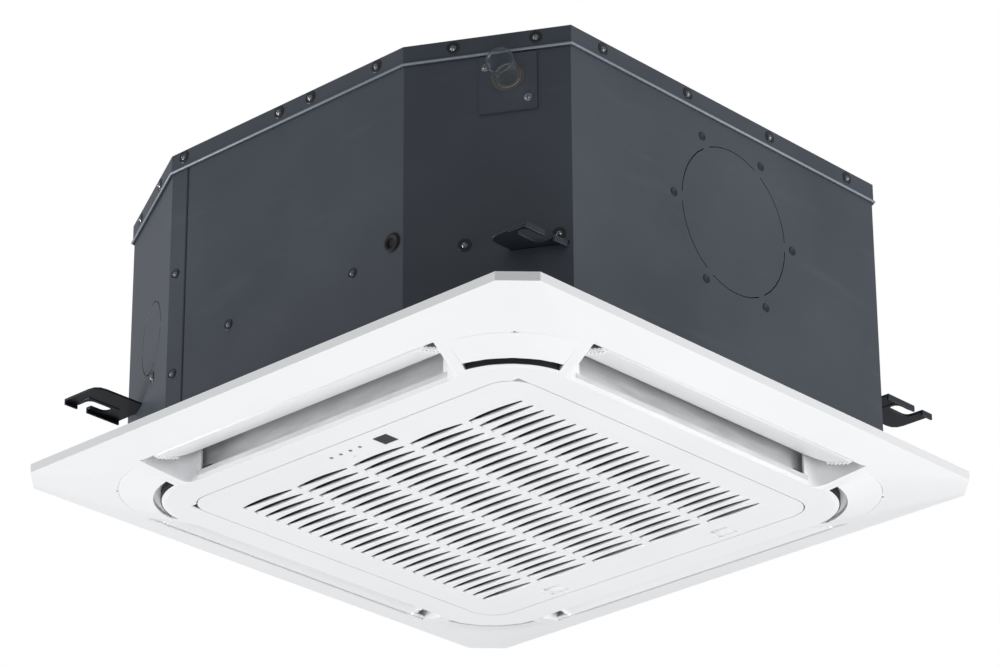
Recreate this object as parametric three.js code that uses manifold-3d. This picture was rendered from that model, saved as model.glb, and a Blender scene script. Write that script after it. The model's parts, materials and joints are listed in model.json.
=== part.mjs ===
// Four-way ceiling cassette fan coil unit. A steel casing hangs above the ceiling on four slotted brackets and holds
// a turbo fan, a water coil wrapped round it and a drain pan. A white moulded panel below it closes the opening in the
// ceiling and carries the intake grille, four corner covers and four louvres.
// Millimetres. X and Y run along the panel's sides, Z is up, and the origin is the centre of the grille's underside.
import * as THREE from "three";
import { mergeVertices } from "three/addons/utils/BufferGeometryUtils.js";
import Module from "manifold-3d";

const wasm = await Module();
wasm.setup();

// Clearances that several pieces share
const seatGap = 0.3;
const runningGap = 0.5;
const sunk = 0.5;
const overrun = 4;
const quarter = Math.PI / 2;
const sideCount = 4;
const rodSideCount = 12;
const boreSideCount = 8;
const wheelSideCount = 24;
const slotSideCount = 40;
const nutSideCount = 6;
const cornerStepCount = 5;
const filletStepCount = 3;
const pocketStepCount = 8;

// Panel: a rim against the ceiling, a slope down to a flat ring, and an intake opening with a collar
const panelOverhang = 36;
const panelHeight = 50;
const panelWall = 2.5;
const rimChamfer = 27;
const rimHeight = 8.5;
const rimWidth = 5;
const rimDrop = 22.5;
const rimRun = 42.5;
const shoulderRadius = 91;
const shoulderDrop = 12.5;
const slopeRun = 41;
const ringRadius = 64;
const ringBand = 31.5;
const grilleRadius = 27;
const grilleSeam = 1.2;
const lipThickness = 1.2;
const lipWidth = 4.3;
const collarWall = 2.5;

// Air outlets: out is the distance from the centre, half is measured along the side
const outletBeyondShoulder = 5;
const outletBeyondRing = 10;
const outletIntoRing = 1;
const outletEndMargin = 1;
const outletFlare = 12.5;
const outletTaper = 15;
const outletLipWall = 2;
const outletLipHeight = 9;
const outletEndHeight = 30;
const outletEndOverlap = 5;

// Grey ducts that join the outlets to the drain pan
const ductIntoRing = 12;
const ductEndMargin = 4.5;
const ductWall = 2;
const ductSkirtInset = 42;

// Louvres and the geared motor at one end of each
const louvreThickness = 2.2;
const louvreOuterInset = 1.5;
const louvreInnerInset = 3;
const louvreEndInset = 12;
const louvrePivotInset = 2.5;
const louvrePivotRise = 4;
const louvrePinRadius = 1.8;
const louvrePinLength = 20;
const louvreOpenDegrees = 36.5;
const louvreToothDepth = 1.1;
const louvreToothCount = 9;
const louvreMotorRadius = 9;
const louvreMotorLength = 14;
const louvreMotorLift = 0.2;
const louvreMotorEar = 5;
const louvreMotorEarHeight = 7;

// Corner covers and the slot behind each: halves are measured across the panel's diagonal
const pocketInset = 1.5;
const pocketEdge = 4;
const pocketHalfAtRing = 41;
const pocketHalfAtArc = 57.5;
const coverGap = 0.4;
const coverSlot = 8;
const coverNotchWidth = 8;
const coverNotchDepth = 2;
const ledgeInset = 6.5;
const ledgeOutset = 5;
const ledgeHalfDegrees = 21;

// Intake grille
const grilleThickness = 3;
const slotRowCount = 24;
const slotColumnCount = 5;
const slotMarginX = 11.25;
const slotMarginY = 9.65;
const slotBridge = 7.3;
const slotWidth = 9;
const slotBow = 2.9;
const ribWidth = 3;
const ribHeight = 5;
const trayInsetX = 34.5;
const trayInsetY = 20.5;
const trayWall = 2.5;
const trayHeight = 9;

// Air filter
const filterFit = 2.5;
const filterFrame = 8;
const filterThickness = 4;
const filterSheet = 0.8;
const filterBayCount = 4;

// Grille hinge, on the side that faces -X
const hingeInset = 16;
const hingeHeight = 8;
const hingePitch = 240;
const hingePinRadius = 2;
const hingePinLength = 25;
const knuckleWidth = 13;
const knuckleHalf = 4;
const knuckleHeight = 9;
const hingeArmWidth = 4;
const hingeArmHalf = 4.5;
const hingeArmTop = 30;
const hingeArmLink = 4;

// Slide latches, on the side that faces +X
const latchPitch = 216;
const latchInset = 12.8;
const latchGripHalf = 5.25;
const latchHalfWidth = 11;
const latchPlateHalf = 13;
const latchPlateReach = 9;
const latchPlateThickness = 2;
const latchTongueHalf = 6;
const latchTongueReach = 17.3;
const latchTravel = 6;
const latchRecess = 1;
const latchRibCount = 3;
const latchRibHeight = 0.8;
const latchRibWidth = 1;
const latchRibPitch = 3;
const catchHeight = 3;
const catchHalf = 8;

// Receiver window, indicator lamps and manual button in the grille's hinge-side margin
const windowSide = 17;
const windowInset = 21.9;
const windowY = -32.4;
const windowFlange = 1.2;
const windowFlangeThickness = 1.4;
const lampInset = 18.5;
const lampY = 33.3;
const lampPitch = 12.2;
const lampCount = 4;
const lampRadius = 1.4;
const buttonInset = 29.3;
const buttonY = 14.3;
const buttonRadius = 1.6;
const buttonFlange = 0.6;
const buttonFlangeThickness = 0.8;
const boardInset = 20.5;
const boardWidth = 21;
const boardLength = 96;
const boardThickness = 1.6;
const boardHeight = 5.3;
const boardPostRadius = 2;
const boardPostY = 45.5;

// Casing
const coilToCasing = 75.5;
const chamferAlongX = 73;
const chamferAlongY = 135;
const sheet = 1.2;
const baseFlange = 14;
const lapLength = 22.5;
const lapRegion = 30;
const lapRoot = 10;
const lapReach = 20;
const lidFlange = 20;
const lidRoll = 0.8;
const lidRollHeight = 2;
const pressingMargin = 6;
const pressingSlope = 5;
const pressingDepth = 3;

// Knock-outs and holes in the casing
const ductKnockoutRadius = 73;
const ductKnockoutX = 5.5;
const ductKnockoutRise = 149.5;
const pilotRadius = 2.2;
const pilotCount = 6;
const pilotCircle = 83.5;
const pipeKnockoutRadius = 36;
const pipeKnockoutAlong = 10.75;
const pipeKnockoutRise = 105;
const knockoutCut = 1;
const knockoutArcCount = 6;
const knockoutArcShare = 0.88;
const cableHoleRadius = 7;
const cableHoleInset = 13.5;
const cableHoleRise = 74.3;
const grommetBore = 4;
const grommetFlange = 2.5;
const grommetThickness = 2;

// Hanger brackets
const hangerPlateRise = 50;
const hangerThickness = 2;
const hangerSlotInset = 16.5;
const hangerSlotLength = 30;
const hangerSlotWidth = 12;
const hangerPlateInnerInset = 49.5;
const hangerPlateOuterInset = 3.5;
const hangerFlange = 6;
const hangerCornerRadius = 12;
const hangerFootDrop = 8;
const hangerFootHeight = 30;
const hangerFootStart = 50;
const hangerFootEnd = 147;
const hangerSeatHeight = 0.6;
const hangerSeatMargin = 4;
const wideHangerInset = 57.5;
const wideHangerReach = 67;
const wideSlotInset = 20.5;
const narrowHangerInset = 81.5;
const narrowHangerReach = 65;
const narrowSlotInset = 37.5;

// Insulation
const sideFoam = 10;
const topFoam = 10;
const topFoamMargin = 13;

// Drain pan
const panHeight = 43;
const panThroatGap = 4;
const panDuctGap = 1;
const panDuctInset = 19.5;
const troughDepth = 15;
const troughMargin = 6;
const sumpInset = 17;
const sumpFarMargin = 7;
const sumpNearMargin = 2;
const sumpFloatMargin = 4;
const sumpPumpMargin = 2.25;

// Coil and its end plate
const fanClearance = 18;
const coilDepth = 44;
const coilInnerRadius = 20;
const coilCutInset = 40;
const finGrooveCount = 4;
const finGrooveWidth = 5;
const finGrooveDepth = 2.5;
const finFieldInset = 8;
const endPlateThickness = 2;
const endPlateReach = 47;

// Pipework
const headerRadius = 11;
const headerGap = 24;
const headerPitch = 42;
const headerRise = 8.2;
const headerDrop = 15.2;
const feederRadius = 3;
const feederCount = 2;
const branchRadius = 8;
const branchBore = 6.8;
const branchBoreDepth = 60;
const branchBeyondCasing = 34.5;
const flowBranchRise = 80;
const returnBranchRise = 165;
const branchHoleRadius = 12;
const unionRadius = 15;
const unionLength = 16;
const unionRecess = 1;

// Fan
const fanRadius = 150;
const fanInletInset = 46;
const fanRise = 17.5;
const fanShroudHeight = 25;
const fanHeight = 101;
const fanWall = 2.2;
const fanBladeCount = 7;
const bladeStepCount = 4;
const flareStepCount = 4;
const bladeInset = 12;
const bladeRootThickness = 5;
const bladeTipThickness = 2;
const bladeSweepDegrees = 46;
const hubRadius = 17;
const hubDrop = 48;
const hubHeight = 14;
const hubFlange = 8;
const hubConeMargin = 26;
const shaftRadius = 5;
const shaftBelowHub = 13;
const shaftBelowMotorTop = 40;
const hubNutRadius = 10;
const hubNutHeight = 7;

// Fan motor and its suspension
const motorRadius = 50;
const motorIntoHub = 9;
const motorHeight = 86;
const motorRound = 6;
const motorEarBeyond = 25;
const motorEarRadius = 12;
const motorEarThickness = 3;
const motorFlangeBeyond = 8;
const mountCount = 3;
const mountRadius = 9;
const mountLength = 14.6;
const motorPlateMargin = 29;
const motorPlateThickness = 2.3;

// Bell mouth
const bellPlateMargin = 4;
const bellPlateRadius = 30;
const bellWall = 2;
const bellClearance = 6;
const bellThroatDrop = 32;
const bellIntoFan = 5;
const bellFlareBeyond = 24;

// Drain pump, float, riser and outlet, laid out on the casing's near chamfer
const drainAlong = 19.75;
const pumpRadius = 18;
const pumpFootRadius = 12;
const pumpFootHeight = 5;
const pumpBodyHeight = 50;
const pumpNeckRadius = 14;
const pumpNeckHeight = 40;
const riserRadius = 9.8;
const riserWall = 1.5;
const riserEnd = 4;
const riserStepCount = 6;
const riserSideCount = 8;
const floatAlong = -30;
const floatRadius = 10;
const floatHeight = 14;
const floatTravel = 10;
const floatRest = 8;
const floatStemRadius = 2.5;
const floatStopRadius = 5;
const floatStopHeight = 2.5;
const floatArm = 5;
const drainPlateWidth = 53;
const drainPlateHeight = 57;
const drainPlateThickness = 2;
const drainPlateDrop = 35;
const drainDrop = 44;
const drainHoleRadius = 13.5;
const stubRadius = 12.5;
const stubWall = 1.6;
const stubInside = 10;
const stubReach = 33;
const stubCollarRadius = 15;
const stubCollarLength = 4;

// Control box under the bell mouth, beside the hinge
const boxInset = 57.5;
const boxWidth = 70;
const boxLength = 210;
const boxHeight = 25;
const boxWall = 1.2;
const boxLip = 6;
const circuitMargin = 4;
const circuitThickness = 1.6;
const circuitDrop = 3;
const circuitPostRadius = 2.5;
const terminalWidth = 14;
const terminalLength = 90;
const terminalHeight = 12;
const relaySide = 16;
const relayHeight = 13;
const relayPitch = 30;
const capacitorRadius = 9;
const capacitorHeight = 15;

// Plan sizes worked out from the ones above, from the fan out to the casing and from the panel's rim in to the grille
const foamInset = sheet + seatGap + hangerThickness + runningGap;
const coilInnerHalf = fanRadius + fanClearance;
const coilOuterHalf = coilInnerHalf + coilDepth;
const casingHalf = coilOuterHalf + coilToCasing;
const casingSide = 2 * casingHalf;
const panelHalf = casingHalf + panelOverhang;
const shoulderHalf = panelHalf - rimRun;
const ringHalf = shoulderHalf - slopeRun;
const grilleHalf = ringHalf - ringBand;
const openingHalf = grilleHalf + grilleSeam;
const openingRadius = grilleRadius + grilleSeam;
const collarHalf = openingHalf + lipWidth;
const collarRadius = openingRadius + lipWidth;
const outletOuter = shoulderHalf + outletBeyondShoulder;
const outletShoulder = ringHalf + outletBeyondRing;
const outletInner = ringHalf - outletIntoRing;
const outletShoulderHalf = ringHalf - ringRadius - outletEndMargin;
const outletOuterHalf = outletShoulderHalf + outletFlare;
const outletInnerHalf = outletShoulderHalf - outletTaper;
const outletEndStart = outletInnerHalf - outletEndOverlap;
const ductInner = ringHalf - ductIntoRing;
const ductOuter = outletOuter + outletLipWall;
const ductHalf = outletOuterHalf + ductEndMargin;
const ductSkirtHalf = ductHalf - ductSkirtInset;
const louvrePivotOut = outletOuter - louvrePivotInset;
const louvrePinEnd = ductHalf;
const shoulderReach = (shoulderHalf - shoulderRadius) * Math.SQRT2;
const ringReach = (ringHalf - ringRadius) * Math.SQRT2;
const trayHalfX = grilleHalf - trayInsetX;
const trayHalfY = grilleHalf - trayInsetY;
const slotFieldX = 2 * (trayHalfX - slotMarginX);
const slotLength = (2 * (trayHalfY - slotMarginY) + slotBridge) / slotColumnCount - slotBridge;
const slotFieldY = (slotColumnCount - 1) * (slotLength + slotBridge);
const filterLengthX = 2 * (trayHalfX - filterFit);
const filterLengthY = 2 * (trayHalfY - filterFit);
const hingeX = hingeInset - grilleHalf;
const latchX = grilleHalf - latchInset;
const windowX = windowInset - grilleHalf;
const lampX = lampInset - grilleHalf;
const buttonX = buttonInset - grilleHalf;
const boardX = boardInset - grilleHalf;
const boxX = boxInset - grilleHalf;
const chamferLength = Math.hypot(chamferAlongX, chamferAlongY);
const chamferMoment = chamferAlongY * casingHalf + chamferAlongX * (casingHalf - chamferAlongY);
const cableHoleY = chamferAlongY + cableHoleInset - casingHalf;
const hangerSlotY = casingHalf - hangerSlotInset;
const hangerPlateInnerY = casingHalf - hangerPlateInnerInset;
const hangerPlateOuterY = casingHalf - hangerPlateOuterInset;
const wideHanger = makeHangerPlan(wideHangerInset, wideHangerReach, wideSlotInset, 1);
const narrowHanger = makeHangerPlan(narrowHangerInset, narrowHangerReach, narrowSlotInset, -1);
const fanInletRadius = fanRadius - fanInletInset;
const bladeInnerRadius = fanInletRadius - bladeInset;
const bellRadius = fanInletRadius - bellClearance;
const bellFlareRadius = fanInletRadius + bellFlareBeyond;
const bellPlateHalf = coilInnerHalf + bellPlateMargin;
const panThroatRadius = bellFlareRadius + panThroatGap;
const pumpInset = sumpInset + sumpNearMargin + pumpRadius;
const sumpDepth = sumpNearMargin + 2 * pumpRadius + sumpFarMargin;
const sumpStart = floatAlong - floatRadius - sumpFloatMargin;
const sumpEnd = drainAlong + pumpRadius + sumpPumpMargin;
const panDuctInner = ductInner + panDuctGap;
const panDuctOuter = casingHalf - panDuctInset;
const panDuctHalf = ductSkirtHalf;
const coilCut = coilInnerHalf - coilCutInset;
const finFieldHalf = coilCut - finFieldInset;
const headerInner = coilCut + headerGap;
const headerOuter = headerInner + headerPitch;
const branchReach = casingHalf + branchBeyondCasing;
const hubBore = shaftRadius + seatGap;
const hubConeRadius = motorRadius + hubConeMargin;
const motorEarReach = motorRadius + motorEarBeyond;
const motorFlangeRadius = motorRadius + motorFlangeBeyond;
const motorPlateRadius = motorEarReach + motorPlateMargin;
const pressingRadius = motorPlateRadius + pressingMargin;
const topFoamHole = pressingRadius + pressingSlope + topFoamMargin;

// Heights worked out from the panel up to the lid
const rimTop = rimDrop + rimHeight;
const coverTop = shoulderDrop + panelWall;
const louvrePivotHeight = shoulderDrop + louvrePivotRise;
const outletSlope = shoulderDrop / slopeRun;
const rimSlope = (rimDrop - shoulderDrop) / (rimRun - rimWidth);
const ductFoot = coverTop + (ductOuter - shoulderHalf) * rimSlope + seatGap;
const casingFoot = panelHeight;
const ductTop = casingFoot - seatGap;
const panFoot = casingFoot + sheet + seatGap;
const panTop = panFoot + panHeight;
const troughFloor = panTop - troughDepth;
const sumpFloor = troughFloor + seatGap;
const coilFoot = troughFloor + seatGap;
const collarTop = panFoot - seatGap;
const bellPlateTop = panFoot - seatGap;
const bellPlateFoot = bellPlateTop - bellWall;
const boxTop = bellPlateFoot - seatGap;
const boxFoot = boxTop - boxHeight;
const fanShroudZ = panTop + fanRise;
const fanShroudRimZ = fanShroudZ + fanShroudHeight;
const fanBackZ = fanShroudZ + fanHeight;
const bellThroatZ = fanShroudZ - bellThroatDrop;
const bellTopZ = fanShroudZ + bellIntoFan;
const hubZ = fanBackZ - hubDrop;
const shaftFootZ = hubZ - shaftBelowHub;
const motorFootZ = fanBackZ - motorIntoHub;
const motorTopZ = motorFootZ + motorHeight;
const shaftTopZ = motorTopZ - shaftBelowMotorTop;
const mountFoot = motorTopZ + motorEarThickness + seatGap;
const mountTop = mountFoot + mountLength;
const motorPlateTop = mountTop + seatGap + motorPlateThickness;
const dishFoot = motorPlateTop + seatGap;
const lidUnderside = dishFoot + pressingDepth;
const lidTop = lidUnderside + sheet;
const wallTop = lidUnderside - seatGap;
const topFoamFoot = wallTop - topFoam;
const coilTop = topFoamFoot - seatGap;
const headerFoot = coilFoot + headerRise;
const headerHeight = coilTop - headerDrop - headerFoot;
const flowBranchZ = casingFoot + flowBranchRise;
const returnBranchZ = casingFoot + returnBranchRise;
const ductKnockoutZ = casingFoot + ductKnockoutRise;
const pipeKnockoutZ = casingFoot + pipeKnockoutRise;
const cableHoleZ = casingFoot + cableHoleRise;
const hangerPlateZ = casingFoot + hangerPlateRise;
const drainZ = lidTop - drainDrop;
const pumpTop = sumpFloor + pumpFootHeight + pumpBodyHeight + pumpNeckHeight;

// Finishes
const finishes = {
  casing: { color: 0x343a42, roughness: 0.5, metalness: 0.3 },
  galvanised: { color: 0xb4b8bb, roughness: 0.4, metalness: 0.9 },
  panel: { color: 0xf2f3f4, roughness: 0.45, metalness: 0 },
  duct: { color: 0x8c8e8e, roughness: 0.8, metalness: 0 },
  foam: { color: 0x2b2c2e, roughness: 0.95, metalness: 0 },
  pan: { color: 0xd9d9d6, roughness: 0.9, metalness: 0 },
  fins: { color: 0xc4ccd0, roughness: 0.35, metalness: 0.95 },
  copper: { color: 0xb5714a, roughness: 0.35, metalness: 1 },
  brass: { color: 0xc2a15a, roughness: 0.35, metalness: 1 },
  fan: { color: 0xdadcda, roughness: 0.6, metalness: 0 },
  motor: { color: 0x6f7478, roughness: 0.5, metalness: 0.6 },
  steel: { color: 0x9ea3a6, roughness: 0.3, metalness: 1 },
  rubber: { color: 0x1c1c1d, roughness: 0.9, metalness: 0 },
  filter: { color: 0x4a4e52, roughness: 0.9, metalness: 0 },
  smoked: { color: 0x30343a, roughness: 0.15, metalness: 0 },
  board: { color: 0x2f6b3c, roughness: 0.6, metalness: 0 },
};

// A closed geometry as a solid, turned right side out where its faces point inwards.
function solid(geometry) {
  const bare = geometry.clone();
  bare.deleteAttribute("normal");
  bare.deleteAttribute("uv");
  const merged = mergeVertices(bare, 1e-4);
  const corners = merged.index.array;
  const kept = [];
  for (let i = 0; i < corners.length; i += 3) {
    const [a, b, c] = [corners[i], corners[i + 1], corners[i + 2]];
    if (a !== b && b !== c && c !== a) kept.push(a, b, c);
  }
  const vertProperties = new Float32Array(merged.attributes.position.array);
  const made = new wasm.Manifold(new wasm.Mesh({ numProp: 3, vertProperties, triVerts: new Uint32Array(kept) }));
  if (made.volume() >= 0) return made;
  return new wasm.Manifold(new wasm.Mesh({ numProp: 3, vertProperties, triVerts: new Uint32Array(kept.reverse()) }));
}

function geometryOf(made) {
  const mesh = made.getMesh();
  const geometry = new THREE.BufferGeometry();
  geometry.setAttribute("position", new THREE.BufferAttribute(mesh.vertProperties, 3));
  geometry.setIndex(new THREE.BufferAttribute(mesh.triVerts, 1));
  geometry.computeVertexNormals();
  return geometry;
}

function join(first, ...others) {
  return geometryOf(others.reduce((sum, other) => sum.add(solid(other)), solid(first)));
}

function cut(body, ...cutters) {
  return geometryOf(cutters.reduce((rest, cutter) => rest.subtract(solid(cutter)), solid(body)));
}

function common(first, second) {
  return geometryOf(solid(first).intersect(solid(second)));
}

function prism(shape, low, high, curveSegments = filletStepCount) {
  const settings = { depth: high - low, bevelEnabled: false, curveSegments };
  return new THREE.ExtrudeGeometry(shape, settings).translate(0, 0, low);
}

function block(x0, x1, y0, y1, z0, z1) {
  const geometry = new THREE.BoxGeometry(Math.abs(x1 - x0), Math.abs(y1 - y0), Math.abs(z1 - z0));
  return geometry.translate((x0 + x1) / 2, (y0 + y1) / 2, (z0 + z1) / 2);
}

// A solid of revolution about Z; a profile that does not start on the axis is closed on itself.
function turned(profile, sides = wheelSideCount) {
  const points = profile.map(([radius, height]) => new THREE.Vector2(radius, height));
  if (profile[0][0] > 0) points.push(points[0].clone());
  return geometryOf(solid(new THREE.LatheGeometry(points, sides).rotateX(quarter)));
}

function rod(radius, low, high, sides = rodSideCount) {
  const geometry = new THREE.CylinderGeometry(radius, radius, high - low, sides);
  return geometry.rotateX(quarter).translate(0, 0, (low + high) / 2);
}

function rodAlongX(radius, x0, x1, y, z, sides = rodSideCount) {
  return rod(radius, x0, x1, sides).rotateY(quarter).translate(0, y, z);
}

function rodAlongY(radius, y0, y1, x, z, sides = rodSideCount) {
  return rod(radius, y0, y1, sides).rotateX(-quarter).translate(x, 0, z);
}

function polygon(points) {
  return new THREE.Shape(points.map(([x, y]) => new THREE.Vector2(x, y)));
}

function tube(outer, inner, low, high) {
  const shape = polygon(outer);
  shape.holes.push(polygon(inner));
  return prism(shape, low, high);
}

function circle(radius, sides, x = 0, y = 0) {
  const angles = Array.from({ length: sides }, (_, i) => (2 * Math.PI * i) / sides);
  return angles.map((angle) => [x + radius * Math.cos(angle), y + radius * Math.sin(angle)]);
}

function rectangle(x, y, halfX, halfY) {
  return [[x - halfX, y - halfY], [x + halfX, y - halfY], [x + halfX, y + halfY], [x - halfX, y + halfY]];
}

function roundedSquare(half, radius) {
  const points = [];
  for (let corner = 0; corner < sideCount; corner++) {
    const turn = corner * quarter;
    const centre = new THREE.Vector2(half - radius, half - radius).rotateAround(new THREE.Vector2(), turn);
    for (let step = 0; step <= cornerStepCount; step++) {
      const angle = turn + (quarter * step) / cornerStepCount;
      points.push([centre.x + radius * Math.cos(angle), centre.y + radius * Math.sin(angle)]);
    }
  }
  return points;
}

// A square with straight chamfers, with as many points at each corner as the rounded square has.
function chamferedSquare(half, chamfer) {
  const points = [];
  for (let corner = 0; corner < sideCount; corner++) {
    for (let step = 0; step <= cornerStepCount; step++) {
      const along = (chamfer * step) / cornerStepCount;
      const place = new THREE.Vector2(half - along, half - chamfer + along);
      place.rotateAround(new THREE.Vector2(), corner * quarter);
      points.push([place.x, place.y]);
    }
  }
  return points;
}

// A closed solid through rings of equally many points, each ring at its own height.
function loft(rings) {
  const count = rings[0].points.length;
  const positions = [];
  const faces = [];
  for (const { points, z } of rings) {
    for (const [x, y] of points) positions.push(x, y, z);
  }
  for (let ring = 0; ring + 1 < rings.length; ring++) {
    for (let i = 0; i < count; i++) {
      const a = ring * count + i;
      const b = ring * count + ((i + 1) % count);
      faces.push(a, b, b + count, a, b + count, a + count);
    }
  }
  const last = (rings.length - 1) * count;
  for (let i = 1; i + 1 < count; i++) {
    faces.push(0, i + 1, i);
    faces.push(last, last + i, last + i + 1);
  }
  const geometry = new THREE.BufferGeometry();
  geometry.setAttribute("position", new THREE.Float32BufferAttribute(positions, 3));
  geometry.setIndex(faces);
  return geometry;
}

// The same geometry once on each of the four sides.
function onAllSides(geometry) {
  return Array.from({ length: sideCount }, (_, side) => geometry.clone().rotateZ(side * quarter));
}

// The same geometry once in each of the four corners, from one laid out along X.
function inAllCorners(geometry) {
  return onAllSides(geometry.clone().rotateZ(quarter / 2));
}

// A quarter-ellipse flare that leaves the first point along the axis and reaches the second square to it.
function flare(radius0, height0, radius1, height1) {
  const points = [];
  for (let step = 0; step <= flareStepCount; step++) {
    const angle = (quarter * step) / flareStepCount;
    const radius = radius0 + (radius1 - radius0) * (1 - Math.cos(angle));
    points.push([radius, height0 + (height1 - height0) * Math.sin(angle)]);
  }
  return points;
}

// How far out the chamfer stands at a distance along the other axis, seen from a line inset into the casing.
function chamferX(y, inset) {
  return (chamferMoment - inset * chamferLength - chamferAlongX * y) / chamferAlongY;
}

function octagon(inset) {
  const half = casingHalf - inset;
  const moment = chamferMoment - inset * chamferLength;
  const y = (moment - chamferAlongY * half) / chamferAlongX;
  const x = (moment - chamferAlongX * half) / chamferAlongY;
  return [[half, -y], [half, y], [x, half], [-x, half], [-half, y], [-half, -y], [-x, -half], [x, -half]];
}

// A frame on the middle of a casing chamfer: X points outwards, Y runs along it.
function chamferGroup(signX, signY) {
  const group = new THREE.Group();
  group.position.set((signX * (casingSide - chamferAlongX)) / 2, (signY * (casingSide - chamferAlongY)) / 2, 0);
  group.rotation.z = Math.atan2(signY * chamferAlongX, signX * chamferAlongY);
  group.updateMatrix();
  return group;
}

// A frame on a casing face, counted in quarter turns from the face towards +X.
function faceGroup(turns) {
  const group = new THREE.Group();
  group.rotation.z = turns * quarter;
  group.position.set(casingHalf, 0, 0).applyEuler(group.rotation);
  group.updateMatrix();
  return group;
}

function addPart(parent, name, geometry, finish, place = () => {}) {
  const mesh = new THREE.Mesh(geometryOf(solid(geometry)), new THREE.MeshStandardMaterial(finishes[finish]));
  mesh.name = name;
  place(mesh);
  parent.add(mesh);
}

// Panel

function panelBody(lift, inset, top) {
  const half = panelHalf - inset;
  const chamfer = rimChamfer - inset * (2 - Math.SQRT2);
  return loft([
    { points: roundedSquare(ringHalf, ringRadius), z: lift },
    { points: roundedSquare(shoulderHalf, shoulderRadius), z: shoulderDrop + lift },
    { points: chamferedSquare(half, chamfer), z: rimDrop + lift },
    { points: chamferedSquare(half, chamfer), z: top },
  ]);
}

// Points along a slanted end, cut into teeth where a depth is given.
function slantPoints(from, to, toothDepth) {
  const points = [from];
  const count = toothDepth > 0 ? louvreToothCount : 0;
  for (let tooth = 0; tooth < count; tooth++) {
    const share = (tooth + 1 / 2) / count;
    const valley = new THREE.Vector2().lerpVectors(from, to, share);
    valley.y -= Math.sign(from.y) * toothDepth;
    points.push(valley, new THREE.Vector2().lerpVectors(from, to, (tooth + 1) / count));
  }
  if (count === 0) points.push(to);
  return points;
}

// The outline of an outlet on the +X side, or one drawn inside it for the louvre.
function outletShape(outerInset, innerInset, endInset, toothDepth = 0) {
  const outer = outletOuter - outerInset;
  const inner = outletInner + innerInset;
  const slant = (outletOuterHalf - outletShoulderHalf) / (outletOuter - outletShoulder);
  const outerHalf = outletOuterHalf - endInset;
  const shoulder = outletShoulderHalf - endInset;
  const control = shoulder - slant * (outletShoulder - inner);
  const innerHalf = outletInnerHalf - endInset;
  const corner = new THREE.Vector2(outer, outerHalf);
  const bend = new THREE.Vector2(outletShoulder, shoulder);
  const upper = slantPoints(corner, bend, toothDepth);
  const lower = upper.map((point) => new THREE.Vector2(point.x, -point.y)).reverse();
  const shape = new THREE.Shape();
  shape.moveTo(outer, -outerHalf);
  for (const point of upper) shape.lineTo(point.x, point.y);
  shape.quadraticCurveTo(inner, control, inner, innerHalf);
  shape.lineTo(inner, -innerHalf);
  shape.quadraticCurveTo(inner, -control, bend.x, -bend.y);
  for (const point of lower.slice(1, -1)) shape.lineTo(point.x, point.y);
  return shape;
}

// The lip round an outlet: low along its long edges, high round its two ends.
function outletLip() {
  const outline = outletShape(-outletLipWall, -outletLipWall, -outletLipWall);
  const low = prism(outline, 0, outletLipHeight);
  const high = prism(outline, 0, outletEndHeight);
  const inner = ductInner + ductWall + seatGap;
  const outer = outletOuter - seatGap;
  const ends = [-1, 1].map((sign) => {
    const zone = block(inner, outer, sign * outletEndStart, sign * panelHalf, 0, outletEndHeight);
    return common(high, zone);
  });
  return join(low, ...ends);
}

// The pocket behind a corner cover, laid out along X: an arc inside the shoulder, slanted ends, an arc round the ring.
function pocketOutline(gap) {
  const outer = shoulderRadius - pocketInset - gap;
  const outerAngle = Math.asin((pocketHalfAtArc - gap) / outer);
  const inner = ringRadius + pocketEdge + gap;
  const innerAngle = Math.asin((pocketHalfAtRing - gap) / inner);
  const shape = new THREE.Shape();
  shape.absarc(shoulderReach, 0, outer, -outerAngle, outerAngle, false);
  shape.absarc(ringReach, 0, inner, innerAngle, -innerAngle, true);
  return shape;
}

function cornerPocket() {
  return prism(pocketOutline(0), -overrun, coverTop + seatGap, pocketStepCount);
}

function cornerLedge() {
  const angle = THREE.MathUtils.degToRad(ledgeHalfDegrees);
  const foot = coverTop + seatGap;
  const shape = new THREE.Shape();
  shape.absarc(shoulderReach, 0, shoulderRadius + ledgeOutset, -angle, angle, false);
  shape.absarc(shoulderReach, 0, shoulderRadius - ledgeInset, angle, -angle, true);
  return prism(shape, foot, foot + panelWall);
}

// The two arms that hold one hinge pin, on a link from the collar.
function hingeArms(y) {
  const half = knuckleWidth / 2 + seatGap;
  const reach = half + hingeArmWidth;
  const linkFoot = hingeArmTop - hingeArmLink;
  const link = block(-collarHalf - sunk, hingeX + hingeArmHalf, y - reach, y + reach, linkFoot, hingeArmTop);
  const arms = [-1, 1].map((sign) => {
    const near = y + sign * half;
    const far = y + sign * reach;
    const bar = block(hingeX - hingeArmHalf, hingeX + hingeArmHalf, near, far, hingeHeight, hingeArmTop);
    const eye = rodAlongY(hingeArmHalf, Math.min(near, far), Math.max(near, far), hingeX, hingeHeight);
    return join(bar, eye);
  });
  const end = reach + panelWall;
  const bore = rodAlongY(hingePinRadius + seatGap, y - end, y + end, hingeX, hingeHeight);
  return cut(join(link, ...arms), bore);
}

function latchCatch(y) {
  return block(openingHalf + seatGap, collarHalf + sunk, y - catchHalf, y + catchHalf, lipThickness / 2, catchHeight);
}

// The way for a louvre's two pins through the outlet's ends.
function louvrePinWay() {
  const end = ductHalf + overrun;
  return rodAlongY(louvrePinRadius + runningGap, -end, end, louvrePivotOut, louvrePivotHeight, boreSideCount);
}

function panelShell() {
  return cut(panelBody(0, 0, rimTop), panelBody(panelWall, rimWidth, rimTop + overrun));
}

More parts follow.
